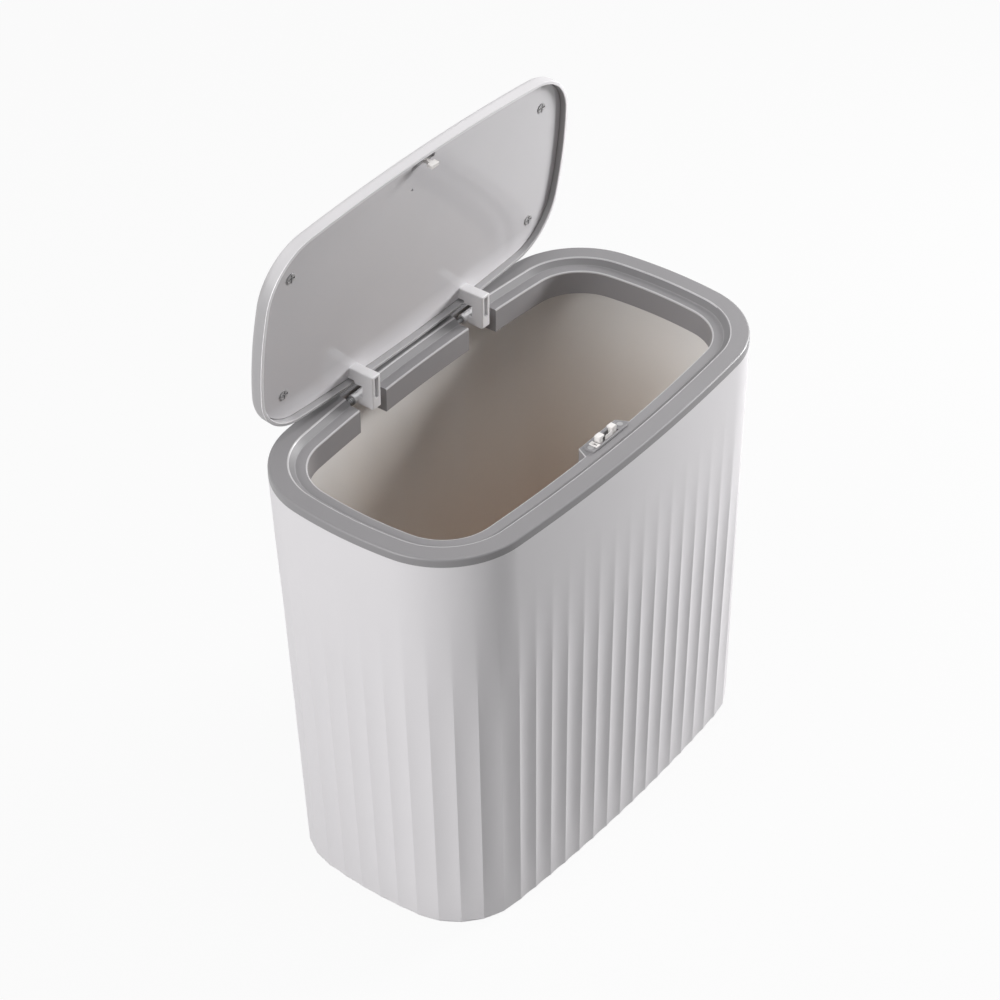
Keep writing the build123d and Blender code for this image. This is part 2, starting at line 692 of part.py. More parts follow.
def make_lid_liner():
    """Inner plate of the lid, open round the striker, with the two hooked hinge arms."""
    inset = COVER_WALL + LINER_CLEARANCE
    low = RIM_STEP
    high = RIM_STEP + LINER_THICKNESS
    plate = slab(lid_outline, inset, low, high)
    plate = fillet(plate.edges().group_by(Axis.Z)[0], LINER_EDGE_RADIUS)
    y = striker_centre()
    opening = (y - OPENING_HALF_Y, y + OPENING_HALF_Y)
    plate -= box((-OPENING_HALF_X, OPENING_HALF_X), opening, (low - OVERRUN, high + OVERRUN))
    for x in (-SCREW_X, SCREW_X):
        for spread in (-SCREW_SPREAD_Y / 2, SCREW_SPREAD_Y / 2):
            hole = (low - OVERRUN, high + OVERRUN)
            plate -= rod_z(SCREW_SHANK_RADIUS + PIN_RUNNING_CLEARANCE, x, spread, hole)
            sink = (low - OVERRUN, low + SCREW_HEAD_HEIGHT - SCREW_PROUD)
            plate -= rod_z(SCREW_HEAD_RADIUS + PIN_RUNNING_CLEARANCE, x, spread, sink)
    liner = lid_place() * plate
    for side in (-1, 1):
        liner += make_hinge_arm(side * HINGE_SPACING / 2)
    return liner


def make_hinge_arm(x):
    """Hooked arm in the open position: reach, leg, foot and pivot boss."""
    back_y = LID_OPEN_EDGE_Y + RIM_STEP + OVERLAP
    rim_y = LID_OPEN_EDGE_Y - ARM_RIM_GAP
    leg_back = ARM_FRONT_Y + ARM_LEG_DEPTH
    across = (x - ARM_WIDTH / 2, x + ARM_WIDTH / 2)
    reach = box(across, (ARM_FRONT_Y, rim_y), (ARM_REACH_UNDER_Z, ARM_TOP_Z))
    root = box(across, (rim_y, back_y), (ARM_ROOT_UNDER_Z, ARM_TOP_Z))
    leg = box(across, (ARM_FRONT_Y, leg_back), (ARM_FOOT_Z, ARM_TOP_Z))
    arm = reach + root + leg
    front_edges = arm.edges().filter_by(Axis.X).sort_by(Axis.Y)[:2]
    arm = fillet(front_edges, ARM_EDGE_RADIUS)
    foot_top = PIVOT_Z + BOSS_RADIUS
    arm += box(across, (leg_back - OVERRUN, PIVOT_Y), (PIVOT_Z - BOSS_RADIUS, foot_top))
    arm += rod_x(BOSS_RADIUS, (x - BOSS_WIDTH / 2, x + BOSS_WIDTH / 2), PIVOT_Y, PIVOT_Z)
    slot_top = ARM_TOP_Z - ARM_EDGE_RADIUS - OVERLAP
    slot_x = (x - ARM_SLOT_WIDTH / 2, x + ARM_SLOT_WIDTH / 2)
    slot_y = (ARM_FRONT_Y - OVERRUN, ARM_FRONT_Y + ARM_SLOT_DEPTH)
    arm -= box(slot_x, slot_y, (slot_top - ARM_SLOT_HEIGHT, slot_top))
    reach_x = BOSS_WIDTH / 2 + OVERRUN
    arm -= rod_x(PIN_RADIUS + PIN_RUNNING_CLEARANCE, (x - reach_x, x + reach_x), PIVOT_Y, PIVOT_Z)
    return arm


def make_liner_screws():
    """Cross-head screws through the liner into the cover's posts."""
    screws = []
    for x in (-SCREW_X, SCREW_X):
        for y in (-SCREW_SPREAD_Y / 2, SCREW_SPREAD_Y / 2):
            low = RIM_STEP - SCREW_PROUD
            head = rod_z(SCREW_HEAD_RADIUS, x, y, (low, low + SCREW_HEAD_HEIGHT))
            shank_span = (low + SCREW_HEAD_HEIGHT, RIM_STEP + SCREW_LENGTH - OVERRUN)
            shank = rod_z(SCREW_SHANK_RADIUS, x, y, shank_span)
            depth = (low - OVERRUN, low + RECESS_DEPTH)
            arm = RECESS_ARM / 2
            width = RECESS_WIDTH / 2
            cross = box((x - arm, x + arm), (y - width, y + width), depth)
            cross += box((x - width, x + width), (y - arm, y + arm), depth)
            screws.append(lid_place() * (head + shank - cross))
    return screws


def striker_screw_shape(x, y, clearance):
    """Flat-headed screw or, with a clearance, the hole that it fills."""
    seat_z = RIM_STEP + STRIKER_SEAT
    low = seat_z - STRIKER_BASE
    head = rod_z(STRIKER_SCREW_HEAD + clearance, x, y, (low, low + STRIKER_SCREW_HEAD_HEIGHT))
    shank = (low + STRIKER_SCREW_HEAD_HEIGHT, seat_z + STRIKER_SCREW_DEPTH - OVERLAP)
    return head + rod_z(STRIKER_SCREW_SHANK + clearance, x, y, shank)


def make_striker():
    """T-headed striker that hangs from a seat block inside the cover."""
    y = striker_centre()
    seat_z = RIM_STEP + STRIKER_SEAT
    depth = (y - STRIKER_DEPTH / 2, y + STRIKER_DEPTH / 2)
    tip = RIM_STEP - STRIKER_REACH
    base_z = (seat_z - STRIKER_BASE, seat_z)
    base = box((-STRIKER_BASE_HALF, STRIKER_BASE_HALF), depth, base_z)
    neck = box((-STRIKER_NECK_HALF, STRIKER_NECK_HALF), depth, (tip, seat_z))
    head_top = closed_to_open(LATCH_Y, hook_underside() - STRIKER_HOOK_GAP)[1]
    head = box((-STRIKER_HEAD_HALF, STRIKER_HEAD_HALF), depth, (tip, head_top))
    striker = base + neck + head
    for side in (-1, 1):
        striker -= striker_screw_shape(side * STRIKER_SCREW_X, y, PIN_RUNNING_CLEARANCE)
    return lid_place() * striker


def make_striker_screws():
    y = striker_centre()
    return [lid_place() * striker_screw_shape(side * STRIKER_SCREW_X, y, 0.0) for side in (-1, 1)]


# Wall plate

def make_wall_plate():
    """Plate screwed to the wall, with two hooks that stand up behind the bin."""
    low = PLATE_TOP_Z - PLATE_HEIGHT
    plate = box((-PLATE_WIDTH / 2, PLATE_WIDTH / 2), (PLATE_FRONT_Y, WALL_Y), (low, PLATE_TOP_Z))
    plate = fillet(plate.edges().filter_by(Axis.Y), PLATE_CORNER_RADIUS)
    lip_back = PLATE_FRONT_Y - HANGER_WALL_GAP - HANGER_LIP - HANGER_PLAY
    for side in (-1, 1):
        x = side * HOOK_SPACING / 2
        across = (x - HOOK_WIDTH / 2, x + HOOK_WIDTH / 2)
        plate += box(across, (lip_back - HOOK_LIP, lip_back), (HOOK_BOTTOM_Z, HOOK_TOP_Z))
        floor = (HOOK_BOTTOM_Z, HOOK_BOTTOM_Z + HOOK_FLOOR)
        plate += box(across, (lip_back - HOOK_LIP, PLATE_FRONT_Y), floor)
        for row in (-1, 1):
            centre = PLATE_CENTRE_Z + row * HOLE_SPACING_Z / 2
            span = (PLATE_FRONT_Y - OVERRUN, WALL_Y + OVERRUN)
            plate -= rod_y(HOLE_RADIUS, side * HOLE_SPACING_X / 2, span, centre)
    return plate


def make_wall_buffers():
    """Rubber buffers on the plate that the bin's back leans on."""
    face = back_face_y(BUFFER_Z) + BUFFER_GAP
    return [
        rod_y(BUFFER_RADIUS, side * BUFFER_SPACING / 2, (face, PLATE_FRONT_Y), BUFFER_Z) for side in (-1, 1)
    ]


PARTS = {
    "wall_plate": make_wall_plate(),
    "wall_buffers": make_wall_buffers(),
    "bin_body": make_bin_body(),
    "trim_ring": make_trim_ring(),
    "hinge_pin_left": make_hinge_pin(-HINGE_SPACING / 2),
    "hinge_pin_right": make_hinge_pin(HINGE_SPACING / 2),
    "hinge_spring_left": make_hinge_spring(-HINGE_SPACING / 2, -1),
    "hinge_spring_right": make_hinge_spring(HINGE_SPACING / 2, 1),
    "latch_housing": make_latch_housing(),
    "latch_screws": make_latch_screws(),
    "latch_spring": make_latch_spring(),
    "cam_pin": make_cam_pin(),
    "latch_slider": make_latch_slider(),
    "jaw_pins": make_jaw_pins(),
    "latch_jaw_left": make_latch_jaw(-1),
    "latch_jaw_right": make_latch_jaw(1),
    "lid_cover": lid_place() * make_lid_cover(),
    "lid_liner": make_lid_liner(),
    "liner_screws": make_liner_screws(),
    "striker": make_striker(),
    "striker_screws": make_striker_screws(),
}

os.makedirs("parts", exist_ok=True)
for name, shape in PARTS.items():
    solids = shape if isinstance(shape, list) else [shape]
    moved = [ORIGIN_SHIFT * solid for solid in solids]
    result = moved[0] if len(moved) == 1 else Compound(children=moved)
    export_step(result, f"parts/{name}.step")
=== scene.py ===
from math import atan2, cos, hypot, pi, radians, sin, sqrt
import bmesh
import bpy
from mathutils import Matrix, Vector


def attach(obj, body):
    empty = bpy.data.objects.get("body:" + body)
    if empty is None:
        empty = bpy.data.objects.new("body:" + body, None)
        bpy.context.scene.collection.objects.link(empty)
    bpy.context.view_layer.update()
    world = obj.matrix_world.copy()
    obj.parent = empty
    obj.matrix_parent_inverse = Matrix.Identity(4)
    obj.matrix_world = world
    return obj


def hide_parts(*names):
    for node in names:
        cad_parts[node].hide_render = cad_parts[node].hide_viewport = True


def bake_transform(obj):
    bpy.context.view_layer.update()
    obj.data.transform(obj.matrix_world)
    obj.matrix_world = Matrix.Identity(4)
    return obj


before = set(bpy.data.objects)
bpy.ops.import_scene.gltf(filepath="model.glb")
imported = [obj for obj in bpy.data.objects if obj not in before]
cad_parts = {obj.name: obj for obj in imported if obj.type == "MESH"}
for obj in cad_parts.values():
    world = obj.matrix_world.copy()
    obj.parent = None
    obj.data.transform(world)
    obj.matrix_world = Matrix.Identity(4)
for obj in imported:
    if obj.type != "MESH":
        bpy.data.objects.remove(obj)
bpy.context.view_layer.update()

# Studio: a camera high over the front left corner, a pale floor that keeps the bin's soft
# shadow, a wide lamp on the left, a small one that grazes the flutes from the right, and
# a wide one above.
MM = 0.001
RIM = Vector((0.0, -0.094, 0.070))  # middle of the bin's rim, from which the pieces are drawn
CAMERA_AZIMUTH = radians(-52.7694)
CAMERA_ELEVATION = radians(35.9595)
CAMERA_DISTANCE = 1.71006
CAMERA_LENS = 113.149
CAMERA_SHIFT = (-0.01563, -0.10728)
LAMPS = (  # name, place, size, watts
    ("left_lamp", (-2.05, 0.22, 1.05), 1.2, 43.0),
    ("right_lamp", (0.90, -0.46, 0.36), 0.3, 12.6),
    ("top_lamp", (0.15, -0.35, 2.2), 0.9, 17.0),
)
SKY_STRENGTH = 0.13
FLOOR_TONE = 0.4
FLOOR_GLOW = 0.94
FLOOR_REACH = 6.0
FOOT_DROP = 0.265
FLOOR_GAP = 0.0005
WHITE = (1.0, 1.0, 1.0, 1.0)

camera_back = Vector((
    sin(CAMERA_AZIMUTH) * cos(CAMERA_ELEVATION),
    -cos(CAMERA_AZIMUTH) * cos(CAMERA_ELEVATION),
    sin(CAMERA_ELEVATION),
))
camera = bpy.data.objects.new("camera", bpy.data.cameras.new("camera"))
camera.location = RIM + camera_back * CAMERA_DISTANCE
camera.rotation_euler = (-camera_back).to_track_quat("-Z", "Y").to_euler()
camera.data.lens = CAMERA_LENS
camera.data.sensor_width = 36.0
camera.data.shift_x, camera.data.shift_y = CAMERA_SHIFT
bpy.context.scene.collection.objects.link(camera)
bpy.context.scene.camera = camera
bpy.context.scene.view_settings.view_transform = "Standard"

for name, place, size, watts in LAMPS:
    lamp = bpy.data.lights.new(name, "AREA")
    lamp.shape = "SQUARE"
    lamp.size = size
    lamp.energy = watts
    holder = bpy.data.objects.new(name, lamp)
    holder.location = place
    holder.rotation_euler = (RIM - Vector(place)).to_track_quat("-Z", "Y").to_euler()
    bpy.context.scene.collection.objects.link(holder)


class Value:
    """A socket in a finish, on which + - * / add the Math nodes they stand for."""

    def __init__(self, finish, socket):
        self.finish = finish
        self.socket = socket

    def maths(self, operation, first, second):
        return self.finish.node("ShaderNodeMath", {"operation": operation}, {0: first, 1: second})

    def __add__(self, other):
        return self.maths("ADD", self, other)

    def __radd__(self, other):
        return self.maths("ADD", other, self)

    def __sub__(self, other):
        return self.maths("SUBTRACT", self, other)

    def __mul__(self, other):
        return self.maths("MULTIPLY", self, other)

    def __truediv__(self, other):
        return self.maths("DIVIDE", self, other)


class Finish:
    """A material whose nodes are added one call at a time."""

    def __init__(self, name):
        self.material = bpy.data.materials.new(name)
        self.material.use_nodes = True
        self.tree = self.material.node_tree
        self.tree.nodes.clear()

    def node(self, kind, settings, inputs, output=0):
        made = self.tree.nodes.new(kind)
        for key, value in settings.items():
            if key == "stops":
                ramp = made.color_ramp.elements
                while len(ramp) < len(value):
                    ramp.new(1.0)
                for element, (place, colour) in zip(ramp, value):
                    element.position = place
                    element.color = (*colour, 1.0)
            else:
                setattr(made, key, value)
        for key, value in inputs.items():
            if isinstance(value, Value):
                self.tree.links.new(value.socket, made.inputs[key])
            else:
                made.inputs[key].default_value = value
        return Value(self, made.outputs[output]) if made.outputs else None

    def surface(self, shader):
        self.node("ShaderNodeOutputMaterial", {}, {"Surface": shader})
        return self.material


def seen_directly(finish):
    """One for rays from the camera, a mirror or glass, and nought for the rest."""
    rays = finish.node("ShaderNodeLightPath", {}, {}, "Is Camera Ray").socket.node
    mirror = Value(finish, rays.outputs["Is Glossy Ray"])
    glass = Value(finish, rays.outputs["Is Transmission Ray"])
    return Value(finish, rays.outputs["Is Camera Ray"]) + mirror + glass


paper = Finish("studio_floor")
paper_tone = (FLOOR_TONE, FLOOR_TONE, FLOOR_TONE, 1.0)
paper_shade = paper.node("ShaderNodeBsdfDiffuse", {}, {"Color": paper_tone})
paper_glow = paper.node("ShaderNodeEmission", {}, {"Color": WHITE, "Strength": 1.0})
paper_share = seen_directly(paper) * FLOOR_GLOW
paper_ends = {0: paper_share, 1: paper_shade, 2: paper_glow}
paper.surface(paper.node("ShaderNodeMixShader", {}, paper_ends))
floor_shape = bmesh.new()
bmesh.ops.create_grid(floor_shape, x_segments=8, y_segments=8, size=FLOOR_REACH)
floor_z = RIM.z - FOOT_DROP - FLOOR_GAP
bmesh.ops.translate(floor_shape, vec=(0.0, 0.0, floor_z), verts=floor_shape.verts)
floor_mesh = bpy.data.meshes.new("studio_floor")
floor_shape.to_mesh(floor_mesh)
floor_shape.free()
floor_mesh.materials.append(paper.material)
floor = bpy.data.objects.new("studio_floor", floor_mesh)
bpy.context.scene.collection.objects.link(floor)

world = bpy.data.worlds.new("studio")
bpy.context.scene.world = world
world.use_nodes = True
sky = world.node_tree
sky.nodes.clear()
sky_rays = sky.nodes.new("ShaderNodeLightPath")
sky_mix = sky.nodes.new("ShaderNodeMixShader")
sky_seen = sky_rays.outputs["Is Camera Ray"]
for kind in ("Is Glossy Ray", "Is Transmission Ray"):
    sky_sum = sky.nodes.new("ShaderNodeMath")
    sky.links.new(sky_seen, sky_sum.inputs[0])
    sky.links.new(sky_rays.outputs[kind], sky_sum.inputs[1])
    sky_seen = sky_sum.outputs[0]
sky.links.new(sky_seen, sky_mix.inputs[0])
for entry, strength in ((1, SKY_STRENGTH), (2, 1.0)):
    backdrop = sky.nodes.new("ShaderNodeBackground")
    backdrop.inputs["Color"].default_value = WHITE
    backdrop.inputs["Strength"].default_value = strength
    sky.links.new(backdrop.outputs[0], sky_mix.inputs[entry])
sky_out = sky.nodes.new("ShaderNodeOutputWorld")
sky.links.new(sky_mix.outputs[0], sky_out.inputs["Surface"])


# Bin shell: injection-moulded white plastic, tapered to the foot, with sixty shallow
# flutes that run out towards the rim and soften at the foot. The inside is smooth, and
# painted shade makes its tone darker and warmer downwards.
BIN_HEIGHT = 265.0
BIN_TOP = -5.1
BIN_WALL = 2.4
# Half length, half width, and the radii of the corners, the long and the short sides.
RIM_OUTLINE = (150.0, 82.5, 52.5, 1160.0, 265.0)
FOOT_OUTLINE = (141.7, 75.2, 45.0, 1160.0, 265.0)
FOOT_SHIFT = Vector((0.0, -5.1, 0.0))
FOOT_BEVEL = 2.4
FOOT_BEVEL_INSET = 1.8
INNER_FLOOR = 4.2
INNER_TAPER = 0.99
FLUTES = 60
STEPS_A_FLUTE = 10
AROUND = FLUTES * STEPS_A_FLUTE
FLUTE_DEPTH = 1.0
FLUTE_START = 0.08
FLUTE_RISE = 0.52
FLUTE_SOFT_FROM = 0.86
FLUTE_SOFTENING = 0.55
TOE_FLUTE_SHARE = 0.3
OUTER_STEPS = 24
INNER_STEPS = 8
PLASTIC_IOR = 1.46
SPECK_SCALE = 1400.0
SPECK_DEPTH = 0.0003
GLOSS_SPREAD = 0.06
PALEST = 0.95
TONE_FLOOR = 0.06
TONE_SPAN = 0.15
WELD_DISTANCE = 0.002
SHELL_COLOUR = (0.71, 0.693, 0.71)
INSIDE_LOW = -0.19
INSIDE_SPAN = 0.24
# Painted shade: the inside turns darker and warmer towards its floor.
INSIDE_SHADE_TONES = [
    (0.0, (0.74, 0.60, 0.50)), (0.55, (0.74, 0.68, 0.62)), (1.0, (0.76, 0.75, 0.74)),
]
STREAK_SCALE = (30.0, 30.0, 3.0)
STREAK_DEPTH = 0.2
INSIDE_ROUGHNESS = 0.5
STREAK_ROUGHNESS = 0.1


def tangent_arcs(half_x, half_y, corner, long_radius, short_radius):
    """Centre, radius and turn of the eight arcs of an outline, from the right side on."""
    long_y = half_y - long_radius
    short_x = half_x - short_radius
    span = hypot(short_x, -long_y)
    reach_long = long_radius - corner
    reach_short = short_radius - corner
    along = (reach_long**2 - reach_short**2 + span**2) / (2 * span)
    across = sqrt(reach_long**2 - along**2)
    x = (short_x * along - long_y * across) / span
    y = long_y + (-long_y * along - short_x * across) / span
    high = atan2(y - long_y, x)
    low = atan2(y, x - short_x)
    return [
        (short_x, 0.0, short_radius, -low, low),
        (x, y, corner, low, high),
        (0.0, long_y, long_radius, high, pi - high),
        (-x, y, corner, pi - high, pi - low),
        (-short_x, 0.0, short_radius, pi - low, pi + low),
        (-x, -y, corner, pi + low, pi + high),
        (0.0, -long_y, long_radius, pi + high, 2 * pi - high),
        (x, -y, corner, 2 * pi - high, 2 * pi - low),
    ]


def outline_walk(outline, inset):
    """Points and outward directions at equal steps round an outline drawn in by an inset."""
    arcs = [(x, y, r - inset, a, b) for x, y, r, a, b in tangent_arcs(*outline)]
    lengths = [r * (b - a) for x, y, r, a, b in arcs]
    walk = []
    for index in range(AROUND):
        distance = sum(lengths) * index / AROUND
        for (x, y, r, a, b), length in zip(arcs, lengths):
            if distance <= length:
                break
            distance -= length
        angle = a + (b - a) * distance / length
        out = Vector((cos(angle), sin(angle), 0.0))
        walk.append((Vector((x, y, 0.0)) + out * r, out))
    return walk


def scallop(index):
    """How far a point of a flute lies below the ridges, from nought to one."""
    place = (index % STEPS_A_FLUTE) / STEPS_A_FLUTE
    return 1.0 - (2.0 * place - 1.0) ** 2


def extrude_ring(shape, verts, spots):
    """Extrudes a closed ring of vertices and sets the new ring down on its spots."""
    members = set(verts)
    edges = [edge for edge in shape.edges if set(edge.verts) <= members]
    made = bmesh.ops.extrude_edge_only(shape, edges=edges)["geom"]
    fresh = {item for item in made if isinstance(item, bmesh.types.BMVert)}
    following = []
    for vert, spot in zip(verts, spots):
        others = (edge.other_vert(vert) for edge in vert.link_edges)
        partner = next(other for other in others if other in fresh)
        partner.co = spot
        following.append(partner)
    return following


def as_piece(name, shape, body, materials, sharp=30.0, move=None, flat_faces=True):
    """Turns a shape drawn in millimetres about the rim into a piece in metres."""
    if move is not None:
        bmesh.ops.transform(shape, matrix=move, verts=shape.verts)
    bmesh.ops.remove_doubles(shape, verts=shape.verts, dist=WELD_DISTANCE)
    bmesh.ops.recalc_face_normals(shape, faces=shape.faces)
    bmesh.ops.scale(shape, vec=(MM, MM, MM), verts=shape.verts)
    bmesh.ops.translate(shape, vec=RIM, verts=shape.verts)
    mesh = bpy.data.meshes.new(name)
    shape.to_mesh(mesh)
    shape.free()
    for material in materials:
        mesh.materials.append(material)
    mesh.shade_smooth()
    mesh.set_sharp_from_angle(angle=radians(sharp))
    piece = bpy.data.objects.new(name, mesh)
    bpy.context.scene.collection.objects.link(piece)
    if flat_faces:
        weighting = piece.modifiers.new("flat_faces", "WEIGHTED_NORMAL")
        weighting.keep_sharp = True
    if body is not None:
        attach(piece, body)
    return piece


def moulded_plastic(
    name, colour, roughness, cloud_size=14.0, cloud_depth=0.03, grain=0.06, painted_light=()
):
    """Plastic with faint clouds of colour, a fine mould grain and slightly uneven gloss.

    painted_light gives shares of the colour at heights from TONE_FLOOR up, in metres, which paint
    light and shade by height."""
    finish = Finish(name)
    place = finish.node("ShaderNodeTexCoord", {}, {}, "Object")
    clouds = finish.node(
        "ShaderNodeTexNoise", {}, {"Vector": place, "Scale": cloud_size, "Detail": 4.0}, "Fac"
    )
    specks = finish.node(
        "ShaderNodeTexNoise", {}, {"Vector": place, "Scale": SPECK_SCALE, "Detail": 2.0}, "Fac"
    )
    dark = tuple(part * (1.0 - cloud_depth) for part in colour)
    pale = tuple(min(part * (1.0 + cloud_depth), PALEST) for part in colour)
    ends = {0: clouds, 6: (*dark, 1.0), 7: (*pale, 1.0)}
    tint = finish.node("ShaderNodeMix", {"data_type": "RGBA"}, ends, 2)
    # Painted light and shade: the colour scaled by height.
    if painted_light:
        height = finish.node("ShaderNodeSeparateXYZ", {}, {0: place}, "Z")
        stops = [((z - TONE_FLOOR) / TONE_SPAN, (tone, tone, tone)) for z, tone in painted_light]
        share = (height - TONE_FLOOR) / TONE_SPAN
        tone = finish.node("ShaderNodeValToRGB", {"stops": stops}, {0: share})
        mixing = {"data_type": "RGBA", "blend_type": "MULTIPLY"}
        tint = finish.node("ShaderNodeMix", mixing, {0: 1.0, 6: tint, 7: tone}, 2)
    grained = {"Strength": grain, "Distance": SPECK_DEPTH, "Height": specks}
    look = {
        "Base Color": tint,
        "Roughness": roughness - GLOSS_SPREAD + clouds * (2.0 * GLOSS_SPREAD),
        "Normal": finish.node("ShaderNodeBump", {}, grained),
        "IOR": PLASTIC_IOR,
    }
    return finish.surface(finish.node("ShaderNodeBsdfPrincipled", {}, look))


shell_plastic = moulded_plastic("shell_plastic", SHELL_COLOUR, 0.48)

# Painted shade inside the bin, darker and warmer downwards, with faint streaks.
inside = Finish("shell_inside")
inside_place = inside.node("ShaderNodeTexCoord", {}, {}, "Object")
inside_z = inside.node("ShaderNodeSeparateXYZ", {}, {0: inside_place}, "Z")
streak_place = inside.node("ShaderNodeMapping", {}, {"Vector": inside_place, "Scale": STREAK_SCALE})
streaks = inside.node(
    "ShaderNodeTexNoise", {}, {"Vector": streak_place, "Scale": 1.0, "Detail": 3.0}, "Fac"
)
inside_share = (inside_z - INSIDE_LOW) / INSIDE_SPAN + streaks * STREAK_DEPTH - STREAK_DEPTH / 2
inside_painted_shade = inside.node("ShaderNodeValToRGB", {"stops": INSIDE_SHADE_TONES}, {0: inside_share})
inside_look = {
    "Base Color": inside_painted_shade,
    "Roughness": INSIDE_ROUGHNESS + streaks * STREAK_ROUGHNESS,
    "IOR": PLASTIC_IOR,
}
inside_plastic = inside.surface(inside.node("ShaderNodeBsdfPrincipled", {}, inside_look))

top_walk = outline_walk(RIM_OUTLINE, 0.0)
foot_walk = outline_walk(FOOT_OUTLINE, 0.0)
toe_walk = outline_walk(FOOT_OUTLINE, FOOT_BEVEL_INSET)
inner_top_walk = outline_walk(RIM_OUTLINE, BIN_WALL)
inner_foot_walk = outline_walk(FOOT_OUTLINE, BIN_WALL)
bevel_z = FOOT_BEVEL - BIN_HEIGHT


def fluted_place(index, share):
    """A point of the fluted outside, share of the way from the rim to the foot."""
    spot = top_walk[index][0].lerp(foot_walk[index][0] + FOOT_SHIFT, share)
    rise = min(max((share - FLUTE_START) / FLUTE_RISE, 0.0), 1.0)
    softened = max(share - FLUTE_SOFT_FROM, 0.0) / (1.0 - FLUTE_SOFT_FROM)
    depth = FLUTE_DEPTH * rise * rise * (3.0 - 2.0 * rise) * (1.0 - FLUTE_SOFTENING * softened)
    spot -= foot_walk[index][1] * depth * scallop(index)
    spot.z = BIN_TOP + (bevel_z - BIN_TOP) * share
    return spot


shell = bmesh.new()
rim_ring = bmesh.ops.create_circle(shell, cap_ends=False, segments=AROUND, radius=1.0)["verts"]
for index, vert in enumerate(rim_ring):
    vert.co = fluted_place(index, 0.0)
outer_ring = rim_ring
for step in range(1, OUTER_STEPS + 1):
    spots = [fluted_place(index, step / OUTER_STEPS) for index in range(AROUND)]
    outer_ring = extrude_ring(shell, outer_ring, spots)
toe_depth = FLUTE_DEPTH * TOE_FLUTE_SHARE
toe_down = FOOT_SHIFT + Vector((0.0, 0.0, -BIN_HEIGHT))
spots = [
    spot - out * toe_depth * scallop(index) + toe_down
    for index, (spot, out) in enumerate(toe_walk)
]
outer_ring = extrude_ring(shell, outer_ring, spots)
bmesh.ops.contextual_create(shell, geom=outer_ring)

inside_from = len(shell.faces)
spots = [spot + Vector((0.0, 0.0, BIN_TOP)) for spot, out in inner_top_walk]
inner_ring = extrude_ring(shell, rim_ring, spots)
for step in range(1, INNER_STEPS + 1):
    share = step / INNER_STEPS
    spots = []
    for (upper, _), (lower, _) in zip(inner_top_walk, inner_foot_walk):
        spot = upper.lerp(lower + FOOT_SHIFT, share * INNER_TAPER)
        spot.z = BIN_TOP + (bevel_z + INNER_FLOOR - BIN_TOP) * share
        spots.append(spot)
    inner_ring = extrude_ring(shell, inner_ring, spots)
bmesh.ops.contextual_create(shell, geom=inner_ring)
shell.faces.ensure_lookup_table()
for face in shell.faces:
    face.material_index = 0 if face.index < inside_from else 1
shell_finishes = [shell_plastic, inside_plastic]
bin_shell = as_piece(
    "bin_shell", shell, "bin", shell_finishes, sharp=14.0, flat_faces=False
)
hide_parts("bin_body")


# Hanger: a channel moulded on the bin's back in the same plastic, open below, that drops
# over the wall plate's two hooks.
HANGER_HALF = 44.0
HANGER_Z = (-46.0, -31.0)
HANGER_ROOF_Z = (-34.0, -31.0)
HANGER_PAD_Y = (79.4, 82.0)
HANGER_ROOF_Y = (80.5, 88.6)
HANGER_LIP_Y = (86.1, 88.6)
HANGER_CHEEK_Y = (79.6, 88.6)
HANGER_CHEEK = 3.0
HANGER_EDGE = 0.8
HANGER_PAD_EDGE = 0.6
BLOCK_SEGMENTS = 3


def block(shape, x, y, z, bevel=0.0):
    """A box between two limits on each axis, with its edges rounded."""
    made = bmesh.ops.create_cube(shape, size=1.0)["verts"]
    bmesh.ops.scale(shape, vec=(x[1] - x[0], y[1] - y[0], z[1] - z[0]), verts=made)
    middle = ((x[0] + x[1]) / 2, (y[0] + y[1]) / 2, (z[0] + z[1]) / 2)
    bmesh.ops.translate(shape, vec=middle, verts=made)
    if bevel:
        bmesh.ops.bevel(
            shape,
            geom=list({edge for vert in made for edge in vert.link_edges}),
            offset=bevel,
            segments=BLOCK_SEGMENTS,
            profile=0.5,
            affect="EDGES",
            material=-1,
        )


hanger = bmesh.new()
hanger_x = (-HANGER_HALF, HANGER_HALF)
block(hanger, hanger_x, HANGER_PAD_Y, HANGER_Z, HANGER_PAD_EDGE)
block(hanger, hanger_x, HANGER_ROOF_Y, HANGER_ROOF_Z, HANGER_EDGE)
block(hanger, hanger_x, HANGER_LIP_Y, HANGER_Z, HANGER_EDGE)
for x in (-HANGER_HALF, HANGER_HALF - HANGER_CHEEK):
    block(hanger, (x, x + HANGER_CHEEK), HANGER_CHEEK_Y, HANGER_Z, HANGER_EDGE)
bin_hanger = as_piece("bin_hanger", hanger, "bin", [shell_plastic], sharp=32.0)
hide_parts("bin_body")


# Trim ring: grey plastic frame that sits on the bin's edge and holds the bag. Its flange
# slopes to the lid's seat, the skirt hangs inside, and the hinge notches and the latch
# pocket are moulded in it.
RING_SECTION = [  # inset from the rim's outline, height
    (0.0, -5.1), (0.0, -1.3), (0.12, -0.75), (0.45, -0.28), (0.9, -0.06), (1.4, 0.0),
    (10.3, 0.0), (10.9, -0.15), (11.3, -0.55), (14.2, -3.0), (14.6, -3.25), (15.1, -3.3),
    (20.1, -3.3), (20.75, -3.55), (21.0, -4.2), (21.0, -18.2), (20.7, -18.5), (19.3, -18.5),
    (19.0, -18.2), (19.0, -5.1), (12.8, -5.1), (12.8, -2.0), (4.7, -2.0), (4.7, -10.0),
    (2.7, -10.0), (2.7, -5.1),
]
ARC_STEPS = (14, 22, 34, 22, 14, 22, 34, 22)
SEAM_WELD = 0.01
CUT_TOP = 1.0
HINGE_X = (-48.5, 48.5)
NOTCH_HALF = 11.8
NOTCH_Y = (55.0, 74.4)
NOTCH_BOTTOM = -19.5
